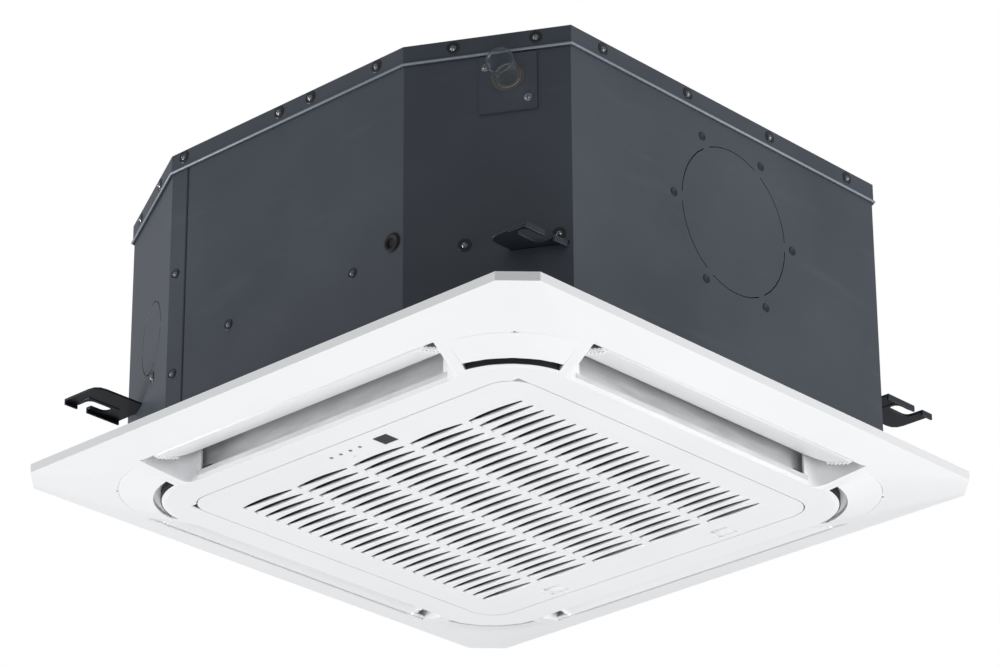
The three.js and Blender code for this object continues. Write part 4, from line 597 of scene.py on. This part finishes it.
def drain_spigot():
    """The clear drain spigot: a thin tube with a rolled rim, a grey collar and a black disc of painted shade
    for its bore.
    """
    normal = Vector((-CHAMFER_Y, -CHAMFER_X, 0)).normalized()
    centre = centre_of("drain_stub")
    depth = (centre - on_chamfer(-1, -1, 0, 0).translation).dot(normal)
    place = outward_frame(centre - normal * depth, normal)
    profile = [(11.1, 3.2), (11.1, 32.4), (11.6, 33.0), (12.3, 33.0),
               (12.8, 32.4), (12.8, 31.2), (12.3, 30.6), (12.2, 3.2)]
    rings = []
    for radius, height in profile:
        circle = [Vector((x, y, height)) for x, y in disc(0, 0, radius, 40)]
        rings.append([tuple(place @ (point * MM) / MM) for point in circle])
    work = bmesh.new()
    skin(work, rings, closed_run=True)
    spigot = own_piece("drain_spigot_tube", work, "casing", "smoked_plastic", "clear_spigot",
                       crease_degrees=60)
    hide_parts("drain_stub")
    work = bmesh.new()
    collar = [(0, 2.6), (12.5, 2.6), (12.9, 3.0), (14.4, 3.0), (15.0, 2.7), (15.0, 2.35)]
    lathe(work, place, in_metres(collar), 32)
    own_piece("drain_spigot_collar", work, "casing", "pan_foam", "collar_clay")
    # A black disc at the spigot's root: painted shade for the dark bore
    work = bmesh.new()
    lathe(work, place, in_metres([(0, 2.9), (8.2, 2.9), (8.2, 2.5)]), 32)
    own_piece("drain_spigot_bore_shade", work, "casing", "black_rubber")


# Panel pieces. The ring's corners are arcs about RING_CENTRE on both axes; a corner's slot runs outside them.
RING_CENTRE = 176.0
SLOT_INNER = 68.0
SLOT_OUTER = 76.0
SHADE_STRIP_HALF_ARC = 36.2
ROOF_HALF_ARC = 35.6


def corner_arc(sign_x, sign_y, radius, z, half_degrees):
    """Points along an arc about a ring corner's centre, to both sides of the diagonal."""
    middle, steps = math.atan2(sign_y, sign_x), 16
    points = []
    for step in range(steps + 1):
        angle = middle + math.radians(half_degrees) * (2 * step / steps - 1)
        x, y = radius * math.cos(angle), radius * math.sin(angle)
        points.append((sign_x * RING_CENTRE + x, sign_y * RING_CENTRE + y, z))
    return points


def arc_strip(name, sign_x, sign_y, section, half_degrees, slot, finish=None):
    """A strip of one section along a ring corner's arc."""
    lines = [corner_arc(sign_x, sign_y, radius, z, half_degrees) for radius, z in section]
    work = bmesh.new()
    skin(work, [list(ring) for ring in zip(*lines)])
    own_piece(name, work, "casing", slot, finish)


def corner_slot(name, sign_x, sign_y):
    """What shows in a corner's slot: a black strip of painted shade by the ring, and a white roof sloping up
    from the cover.
    """
    near, far = SLOT_INNER + 0.1, SLOT_INNER + 1.1
    # The black strip by the ring is painted shade for the dark depth of the slot
    foam = [(near, 1.5), (far, 1.7), (far, 11.0), (near, 11.0)]
    arc_strip(f"slot_painted_shade_{name}", sign_x, sign_y, foam, SHADE_STRIP_HALF_ARC, "foam", "black_rubber")
    near, far = SLOT_INNER + 1.4, SLOT_OUTER + 1.6
    roof = [(far, 6.6), (near, 12.0), (near, 13.2), (far, 7.8)]
    arc_strip(f"slot_roof_{name}", sign_x, sign_y, roof, ROOF_HALF_ARC, "panel_white")


# A corner cover's outer edge, measured out along the panel's diagonal, its notch, and how far its sides are
# pushed out for each millimetre from the diagonal
COVER_EDGE = 357.8
NOTCH_EDGE = 356.2
NOTCH_HALF = 4.1
COVER_WIDENING = 0.0065
# Each clip eye has a place across and along the diagonal, a height and a radius
CORNER_OUT = 248.9
SLOPE_START = 64.0
SLOPE_RISE = 0.305
EYE_ACROSS = 56.6
EYE_OUT = 345.6
END_EYE_HEIGHT = SLOPE_RISE * (math.hypot(EYE_OUT - CORNER_OUT, EYE_ACROSS) - SLOPE_START)
MIDDLE_EYE_HEIGHT = 12.5
CLIP_EYES = [(0.0, COVER_EDGE + 0.7, MIDDLE_EYE_HEIGHT, 1.2)]
CLIP_EYES += [(off, EYE_OUT, END_EYE_HEIGHT, 1.3) for off in (-EYE_ACROSS, EYE_ACROSS)]


def corner_cover(name, sign_x, sign_y):
    """A corner cover pushed home against its pocket's ends, with its notch closed and its clip eyes."""
    piece = softened(f"corner_cover_{name}", f"corner_cover_moulding_{name}", edge_mm=0.15)
    outward = Vector((sign_x, sign_y, 0)).normalized()
    across = Vector((-outward.y, outward.x, 0))
    for vertex in piece.data.vertices:
        out, off = vertex.co.dot(outward) / MM, vertex.co.dot(across) / MM
        moved = across * (COVER_WIDENING * off * MM)
        if abs(off) < NOTCH_HALF and NOTCH_EDGE - 0.2 < out < COVER_EDGE:
            moved += outward * (COVER_EDGE - 0.1 - NOTCH_EDGE) * MM
        vertex.co += moved
    work = bmesh.new()
    for off, out, height, radius in CLIP_EYES:
        foot = outward * out + across * off + Vector((0, 0, height - 0.12))
        place = outward_frame(foot * MM, (0, 0, -1))
        lathe(work, place, in_metres([(0, 0.05), (radius, 0), (radius, -1.5)]), 14)
    own_piece(f"cover_clip_eyes_{name}", work, "casing", "panel_white", "eye_shadow")


# Louvre blade in its closed pose on the side that faces +X
BLADE_OUTER = 284.5
BLADE_INNER = 242.0
BLADE_HALF = 172.5
BLADE_INNER_HALF = 153.0
BLADE_END_RUN = 27.0
BLADE_TEETH = 6
BLADE_TOOTH = 3.0
BLADE_THICKNESS = 2.2
BLADE_BULGE = 1.7
TOOTH_STATIONS = 6
COMB_DEPTH = 2.6
COMB_INNER = BLADE_HALF - 4.8
COMB_OUTER = BLADE_HALF - 3.3
CHORD_START = 240.0
CHORD_RUN = 41.0
CHORD_FOOT = 0.3
CHORD_RISE = 12.5
PIVOT_OUT = 283.5
PIVOT_HEIGHT = 16.5
PIN_RADIUS = 1.8
PIN_ENDS = (165.0, 192.0)
PIN_SIDES = 12
OPEN_DEGREES = 36.5
DUCT_EDGE_CORNERS = ((238.9, -159.5, 4.8), (239.35, 159.5, 9.6))


def quarter_turns(count):
    return Matrix.Rotation(count * math.pi / 2, 4, "Z")


def blade_half(x):
    """Half the blade's length at a distance from the centre: scalloped ends, then a curve inward."""
    gone = BLADE_OUTER - x
    if gone <= BLADE_END_RUN:
        return BLADE_HALF - BLADE_TOOTH * (1 - abs(math.sin(math.pi * BLADE_TEETH * gone / BLADE_END_RUN)))
    share = (gone - BLADE_END_RUN) / (BLADE_OUTER - BLADE_END_RUN - BLADE_INNER)
    return BLADE_HALF - BLADE_TOOTH - (BLADE_HALF - BLADE_TOOTH - BLADE_INNER_HALF) * share ** 1.8


def blade_height(x):
    """The underside of the closed blade, bowed down between its two long edges."""
    share = (BLADE_OUTER - x) / (BLADE_OUTER - BLADE_INNER)
    chord = CHORD_FOOT + CHORD_RISE * (x - CHORD_START) / CHORD_RUN
    return chord - 4 * BLADE_BULGE * share * (1 - share)


def louvre_blade(side, turns):
    """A louvre as moulded: a bowed blade with a scalloped rib under each end, on its two pivot pins."""
    count = BLADE_TEETH * TOOTH_STATIONS
    stations = [BLADE_OUTER - BLADE_END_RUN * i / count for i in range(count + 1)]
    rest = BLADE_OUTER - BLADE_END_RUN - BLADE_INNER
    stations += [BLADE_OUTER - BLADE_END_RUN - rest * i / 12 for i in range(1, 13)]
    rings = []
    for x in stations:
        half, low = blade_half(x), blade_height(x)
        high = low + BLADE_THICKNESS
        rings.append([(x, -half, low), (x, half, low), (x, half, high), (x, -half, high)])
    work = bmesh.new()
    skin(work, rings)
    for sign in (-1, 1):
        comb = []
        for x in stations[:count + 1]:
            low = blade_height(x)
            drop = COMB_DEPTH * abs(math.sin(math.pi * BLADE_TEETH * (BLADE_OUTER - x) / BLADE_END_RUN))
            foot, root = low - 0.1 - drop, low + 1
            inner, outer = sign * COMB_INNER, sign * COMB_OUTER
            comb.append([(x, inner, foot), (x, outer, foot), (x, outer, root), (x, inner, root)])
        skin(work, comb)
        pin = disc(PIVOT_OUT, PIVOT_HEIGHT, PIN_RADIUS, PIN_SIDES)
        skin(work, [[(x, sign * y, z) for x, z in pin] for y in PIN_ENDS])
    pivot = Vector((PIVOT_OUT, 0, PIVOT_HEIGHT)) * MM
    opened = Matrix.Rotation(math.radians(OPEN_DEGREES), 4, "Y")
    swing = Matrix.Translation(pivot) @ opened @ Matrix.Translation(-pivot)
    bmesh.ops.transform(work, matrix=quarter_turns(turns) @ swing, verts=work.verts)
    body = cad[f"louvre_{side}"]["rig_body"]
    piece = own_piece(f"louvre_blade_{side}", work, body, "panel_white", crease_degrees=40)
    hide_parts(f"louvre_{side}")


def duct_edge(side, turns):
    """The grey duct's lower edge, which laps over the outlet's inner lip."""
    work = bmesh.new()
    bar(work, *DUCT_EDGE_CORNERS)
    bmesh.ops.transform(work, matrix=quarter_turns(turns), verts=work.verts)
    own_piece(f"duct_edge_{side}", work, "casing", "duct_grey")


# Intake grille: rows of bowed slots, each with a rounded lip along its straight edge. The slotted field is
# thinner than the plate round it.
GRILLE_HALF = 208.5
GRILLE_RADIUS = 27.0
GRILLE_THICKNESS = 3.0
SLOT_ROWS = 24
SLOT_COLUMNS = 5
SLOT_FIELD_X = 325.5
SLOT_LENGTH = 65.5
SLOT_PITCH_Y = 72.8
SLOT_HALF = 4.5
SLOT_BOW = 2.9
SLOT_WALL = 1.8
SLOT_EASE = 0.3
SLOT_RUN = [i / 6 - 1 for i in range(13)]
CELL_HALF_X = SLOT_FIELD_X / (SLOT_ROWS - 1) / 2
CELL_HALF_Y = SLOT_PITCH_Y / 2
LIP_DEGREES = (0, 25, 50, 75, 90)
LIP_LENGTH = 0.985
LIP_REACH = 0.5
LIP_END_REACH = 1.8
LIP_FOOT = 0.35
LIP_HEIGHT = 1.3
WINDOW_BOX = (-195.4, -177.8, -41.2, -23.6)
BUTTON_DISC = (-179.2, 14.3, 1.9)
HOLE_SIDES = 20
LATCH_X = (183.95, 201.45)
LATCH_Y = 108
LATCH_HALF = 11.5
LENS_RADIUS = 2.0
LENS_PLACES = [(-190.0, 33.3 - i * 12.2) for i in range(4)]


def slot_places():
    """The middle of each slot, row by row."""
    for row in range(SLOT_ROWS):
        x = SLOT_FIELD_X * (row / (SLOT_ROWS - 1) - 0.5)
        for column in range(SLOT_COLUMNS):
            yield x, SLOT_PITCH_Y * (column - (SLOT_COLUMNS - 1) / 2)


def slot_left(along):
    """The bowed edge of a slot, with along running from -1 to 1 over its length."""
    return -SLOT_HALF + SLOT_BOW * along * along


def rounded_square(half, radius):
    points, steps = [], 8
    for corner in range(4):
        for step in range(steps + 1):
            angle = (corner + step / steps) * math.pi / 2
            centre = Matrix.Rotation(corner * math.pi / 2, 2) @ Vector((half - radius, half - radius))
            points.append((centre.x + radius * math.cos(angle), centre.y + radius * math.sin(angle)))
    return points


def box_outline(x0, x1, y0, y1):
    return [(x0, y0), (x1, y0), (x1, y1), (x0, y1)]


def plate_outlines():
    """The plate's outline and its holes: slotted field, window, lenses, button and latches."""
    field_x, field_y = CELL_HALF_X * SLOT_ROWS, CELL_HALF_Y * SLOT_COLUMNS
    outlines = [rounded_square(GRILLE_HALF, GRILLE_RADIUS), box_outline(-field_x, field_x, -field_y, field_y)]
    outlines.append(box_outline(*WINDOW_BOX))
    outlines += [disc(x, y, LENS_RADIUS + 0.2, HOLE_SIDES) for x, y in LENS_PLACES]
    outlines.append(disc(*BUTTON_DISC, HOLE_SIDES))
    outlines += [box_outline(*LATCH_X, y - LATCH_HALF, y + LATCH_HALF) for y in (-LATCH_Y, LATCH_Y)]
    return outlines


def filled_plate(outlines, thickness_mm):
    """A flat plate with holes, standing on Z = 0, from its closed outlines."""
    plate = bpy.data.curves.new("grille_plate_outline", "CURVE")
    plate.dimensions = "2D"
    plate.fill_mode = "BOTH"
    plate.extrude = thickness_mm / 2 * MM
    for outline in outlines:
        spline = plate.splines.new("POLY")
        spline.points.add(len(outline) - 1)
        for point, (x, y) in zip(spline.points, outline):
            point.co = (x * MM, y * MM, 0, 1)
        spline.use_cyclic_u = True
    holder = bpy.data.objects.new("grille_plate_outline", plate)
    bpy.context.scene.collection.objects.link(holder)
    made = bpy.data.meshes.new_from_object(holder.evaluated_get(bpy.context.evaluated_depsgraph_get()))
    bpy.data.objects.remove(holder)
    bpy.data.curves.remove(plate)
    work = bmesh.new()
    work.from_mesh(made)
    bpy.data.meshes.remove(made)
    bmesh.ops.translate(work, vec=(0, 0, thickness_mm / 2 * MM), verts=work.verts)
    return work


def slot_cell(work, x, y):
    """One cell of the slotted field, with a slot whose edges are eased on both faces."""
    rings = []
    for ease, height in ((SLOT_EASE, 0), (0, SLOT_EASE), (0, SLOT_WALL - SLOT_EASE), (SLOT_EASE, SLOT_WALL)):
        end = SLOT_LENGTH / 2 + ease
        right = x + SLOT_HALF + ease
        bow = [(x + slot_left(t) - ease, y - t * end, height) for t in SLOT_RUN]
        rings.append([(right, y - end, height), (right, y + end, height)] + bow)
    for height in (SLOT_WALL, 0):
        right = x + CELL_HALF_X
        edge = [(x - CELL_HALF_X, y - t * CELL_HALF_Y, height) for t in SLOT_RUN]
        rings.append([(right, y - CELL_HALF_Y, height), (right, y + CELL_HALF_Y, height)] + edge)
    skin(work, rings, closed_run=True)


def slot_lip(work, x, y):
    """The rounded lip along a slot's straight edge, which reaches further in towards the slot's ends."""
    near = x + SLOT_HALF + 0.1
    turn = [math.radians(a) for a in LIP_DEGREES]
    rings = []
    for t in SLOT_RUN:
        along = t * LIP_LENGTH
        reach = LIP_REACH + LIP_END_REACH * along * along
        line = y + along * SLOT_LENGTH / 2
        lip = [(near - reach * math.sin(a), line, LIP_FOOT + LIP_HEIGHT * (1 - math.cos(a))) for a in turn]
        rings.append(lip + [(near, line, LIP_FOOT + LIP_HEIGHT)])
    skin(work, rings)


def add_tray(work):
    """Adds what the CAD grille carries above its plate."""
    tray = bmesh.new()
    tray.from_mesh(cad["intake_grille"].data)
    everything = tray.verts[:] + tray.edges[:] + tray.faces[:]
    plane = (0, 0, (GRILLE_THICKNESS - 0.02) * MM)
    bmesh.ops.bisect_plane(tray, geom=everything, plane_co=plane, plane_no=(0, 0, 1), clear_inner=True)
    kept = bpy.data.meshes.new("grille_tray")
    tray.to_mesh(kept)
    tray.free()
    work.from_mesh(kept)
    bpy.data.meshes.remove(kept)


def grille_moulding():
    """The grille as one moulding: a plate, bowed slots with rounded lips, and the CAD node's tray."""
    work = filled_plate(plate_outlines(), GRILLE_THICKNESS)
    for x, y in slot_places():
        slot_cell(work, x, y)
        slot_lip(work, x, y)
    add_tray(work)
    body = cad["intake_grille"]["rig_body"]
    piece = own_piece("grille_moulding", work, body, "panel_white", crease_degrees=32)
    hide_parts("intake_grille")


def indicator_lenses():
    """The four domed lenses of the indicator lights."""
    work = bmesh.new()
    profile = [(0, 0.6), (1.2, 0.45), (LENS_RADIUS, 0), (LENS_RADIUS, -1.2)]
    for x, y in LENS_PLACES:
        lathe(work, outward_frame(Vector((x, y, 0.9)) * MM, (0, 0, -1)), in_metres(profile), 16)
    own_piece("indicator_lenses", work, cad["intake_grille"]["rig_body"], "smoked_plastic")


for node in cad:
    dress(node, slot_of[node])
drain_spigot()
grommet()

softened("panel_frame", "panel_moulding", edge_mm=0.4)
softened("casing_main", "casing_shell_sheet", edge_mm=0.5)
softened("casing_corner_sheet", "casing_corner_panel", edge_mm=0.5)
softened("top_cover", "lid_sheet", edge_mm=0.5)
corners = {"north_east": (1, 1), "north_west": (-1, 1), "south_west": (-1, -1), "south_east": (1, -1)}
for corner, (sign_x, sign_y) in corners.items():
    corner_cover(corner, sign_x, sign_y)
    plate = softened(f"hanger_bracket_{corner}", f"hanger_plate_{corner}", edge_mm=0.5)
    plate.data.materials[0] = finishes["bracket_paint"]
    corner_slot(corner, sign_x, sign_y)
for turns, side in enumerate(("east", "north", "west", "south")):
    louvre_blade(side, turns)
    duct_edge(side, turns)
grille_moulding()
indicator_lenses()
rolled_hem()
lap_seam_shade()

# A screw stands off the casing's plain face: by SHEET_LIFT on the sheet, LID_LIFT on the lid's flange and
# PLATE_LIFT on the drain plate. Its place is along that face, and up from the panel's underside.
SHEET_LIFT = 0.02
LID_LIFT = 1.55
PLATE_LIFT = 2.3
LID_SCREW_HEIGHT = 307
LID_SCREW_HEIGHT_X = 308
FOOT_SCREW_HEIGHT = 110
BRANCH_X, BRANCH_Z, PILOT_CIRCLE = 5.5, 199.5, 83.5
lid_screws = []
for side in (-1, 1):
    lid_screws += [on_y_wall(side, x, LID_SCREW_HEIGHT, LID_LIFT) for x in (-173, -57, 60, 175)]
    lid_screws += [on_x_wall(side, y, LID_SCREW_HEIGHT_X, LID_LIFT) for y in (-119, -34, 7, 136)]
    for other in (-1, 1):
        for along in (46, 122):
            lid_screws.append(on_chamfer(side, other, along, LID_SCREW_HEIGHT, LID_LIFT))
wall_places = [(144.5, 87), (144.5, 189), (-90, 111), (70, 113)]
wall_screws = [on_x_wall(-1, y, z, SHEET_LIFT) for y, z in wall_places]
foot_screws = []
for sign_x, sign_y in ((-1, -1), (-1, 1), (1, -1), (1, 1)):
    for along in (56, 141):
        foot_screws.append(on_chamfer(sign_x, sign_y, along, FOOT_SCREW_HEIGHT, SHEET_LIFT))
pilots = []
for turn in [math.pi * i / 3 for i in range(6)]:
    x, z = BRANCH_X + PILOT_CIRCLE * math.cos(turn), BRANCH_Z + PILOT_CIRCLE * math.sin(turn)
    pilots.append(on_y_wall(-1, x, z, SHEET_LIFT))
plate_screws = [on_chamfer(-1, -1, along, z, PLATE_LIFT) for along, z in ((76, 282), (115, 247))]
# The pilot holes are drawn as dark seats: painted shade where the holes are
pressed_seats("branch_pilot_dimples", pilots, radius_mm=4.4)
pressed_seats("lid_flange_seats", lid_screws, radius_mm=6.2)
pressed_seats("wall_screw_seats", wall_screws, radius_mm=5.2)
pressed_seats("hanger_foot_seats", foot_screws, radius_mm=6.4)
fastened("lid_flange_screws", lid_screws, head_mm=4.4, washer_mm=5.6)
fastened("wall_screws", wall_screws, head_mm=3.8, washer_mm=4.8)
fastened("hanger_foot_screws", foot_screws, head_mm=4.6, washer_mm=5.6)
fastened("drain_plate_screws", plate_screws, head_mm=5.0, washer_mm=7.6)


# Studio: the unit hangs over a pale floor, with soft light from both sides and from below

def studio_floor():
    mesh = bpy.data.meshes.new("studio_floor")
    work = bmesh.new()
    bmesh.ops.create_grid(work, x_segments=24, y_segments=24, size=14.0)
    work.to_mesh(mesh)
    work.free()
    material, tree, shader, place = new_finish("pale_studio_floor", Roughness=0.9)
    shade = tone(tree, mottle(tree, place, 900), "#E9E9EA", "#E4E4E5")
    tree.links.new(shade, shader.inputs["Base Color"])
    tree.links.new(shade, shader.inputs["Emission Color"])
    # The lamps face away from the floor, so a glow that only the camera sees keeps it pale
    path = tree.nodes.new("ShaderNodeLightPath")
    tree.links.new(spread(tree, path.outputs["Is Camera Ray"], 0.0, 0.5), shader.inputs["Emission Strength"])
    mesh.materials.append(material)
    floor = bpy.data.objects.new("studio_floor", mesh)
    floor.location = (0, 0, -4.2)
    bpy.context.scene.collection.objects.link(floor)


def softbox(name, location, target, size, watts):
    lamp = bpy.data.lights.new(name, "AREA")
    lamp.shape = "RECTANGLE"
    lamp.size, lamp.size_y = size
    lamp.energy = watts
    box = bpy.data.objects.new(name, lamp)
    box.location = location
    box.rotation_mode = "QUATERNION"
    box.rotation_quaternion = (Vector(location) - Vector(target)).to_track_quat("Z", "Y")
    bpy.context.scene.collection.objects.link(box)


def studio_world(level):
    """White where the camera or clear plastic looks past the object, and a plain level as light."""
    world = bpy.data.worlds.new("studio_world")
    world.use_nodes = True
    tree = world.node_tree
    background = tree.nodes["Background"]
    background.inputs["Color"].default_value = (1, 1, 1, 1)
    path = tree.nodes.new("ShaderNodeLightPath")
    seen = arithmetic(tree, "MAXIMUM", path.outputs["Is Camera Ray"], path.outputs["Is Transmission Ray"])
    tree.links.new(spread(tree, seen, level, 1.0), background.inputs["Strength"])
    bpy.context.scene.world = world


studio_floor()
studio_world(level=0.3)
softbox("softbox_south_east", (2.6, -3.4, -0.9), (0, 0, 0.1), (2.2, 2.2), watts=118)
softbox("softbox_north_west", (-2.2, 3.8, -0.8), (0, 0, 0.1), (2.0, 2.0), watts=134)
softbox("softbox_below", (-0.9, -1.0, -3.3), (0, 0, 0), (2.6, 2.6), watts=65)


def photo_camera():
    """The photograph's viewpoint: 25 degrees below the unit, off its drain corner."""
    azimuth, elevation, roll = (math.radians(x) for x in (-46.944, -25.034, -0.315))
    level = math.cos(elevation)
    back = Vector((math.sin(azimuth) * level, -math.cos(azimuth) * level, math.sin(elevation)))
    target, distance = Vector((-0.24396, -0.22757, 0.0225)), 3.393832
    forward = -back
    right = forward.cross(Vector((0, 0, 1))).normalized()
    upward = right.cross(forward)
    tilted_right = right * math.cos(roll) + upward * math.sin(roll)
    tilted_up = upward * math.cos(roll) - right * math.sin(roll)
    lens = bpy.data.cameras.new("photo_camera")
    lens.lens = 141.93
    lens.sensor_width = 36.0
    camera = bpy.data.objects.new("photo_camera", lens)
    turned = Matrix((tilted_right, tilted_up, back)).transposed().to_4x4()
    camera.matrix_world = Matrix.Translation(target + back * distance) @ turned
    bpy.context.scene.collection.objects.link(camera)
    bpy.context.scene.camera = camera


photo_camera()
bpy.context.scene.view_settings.view_transform = "Standard"
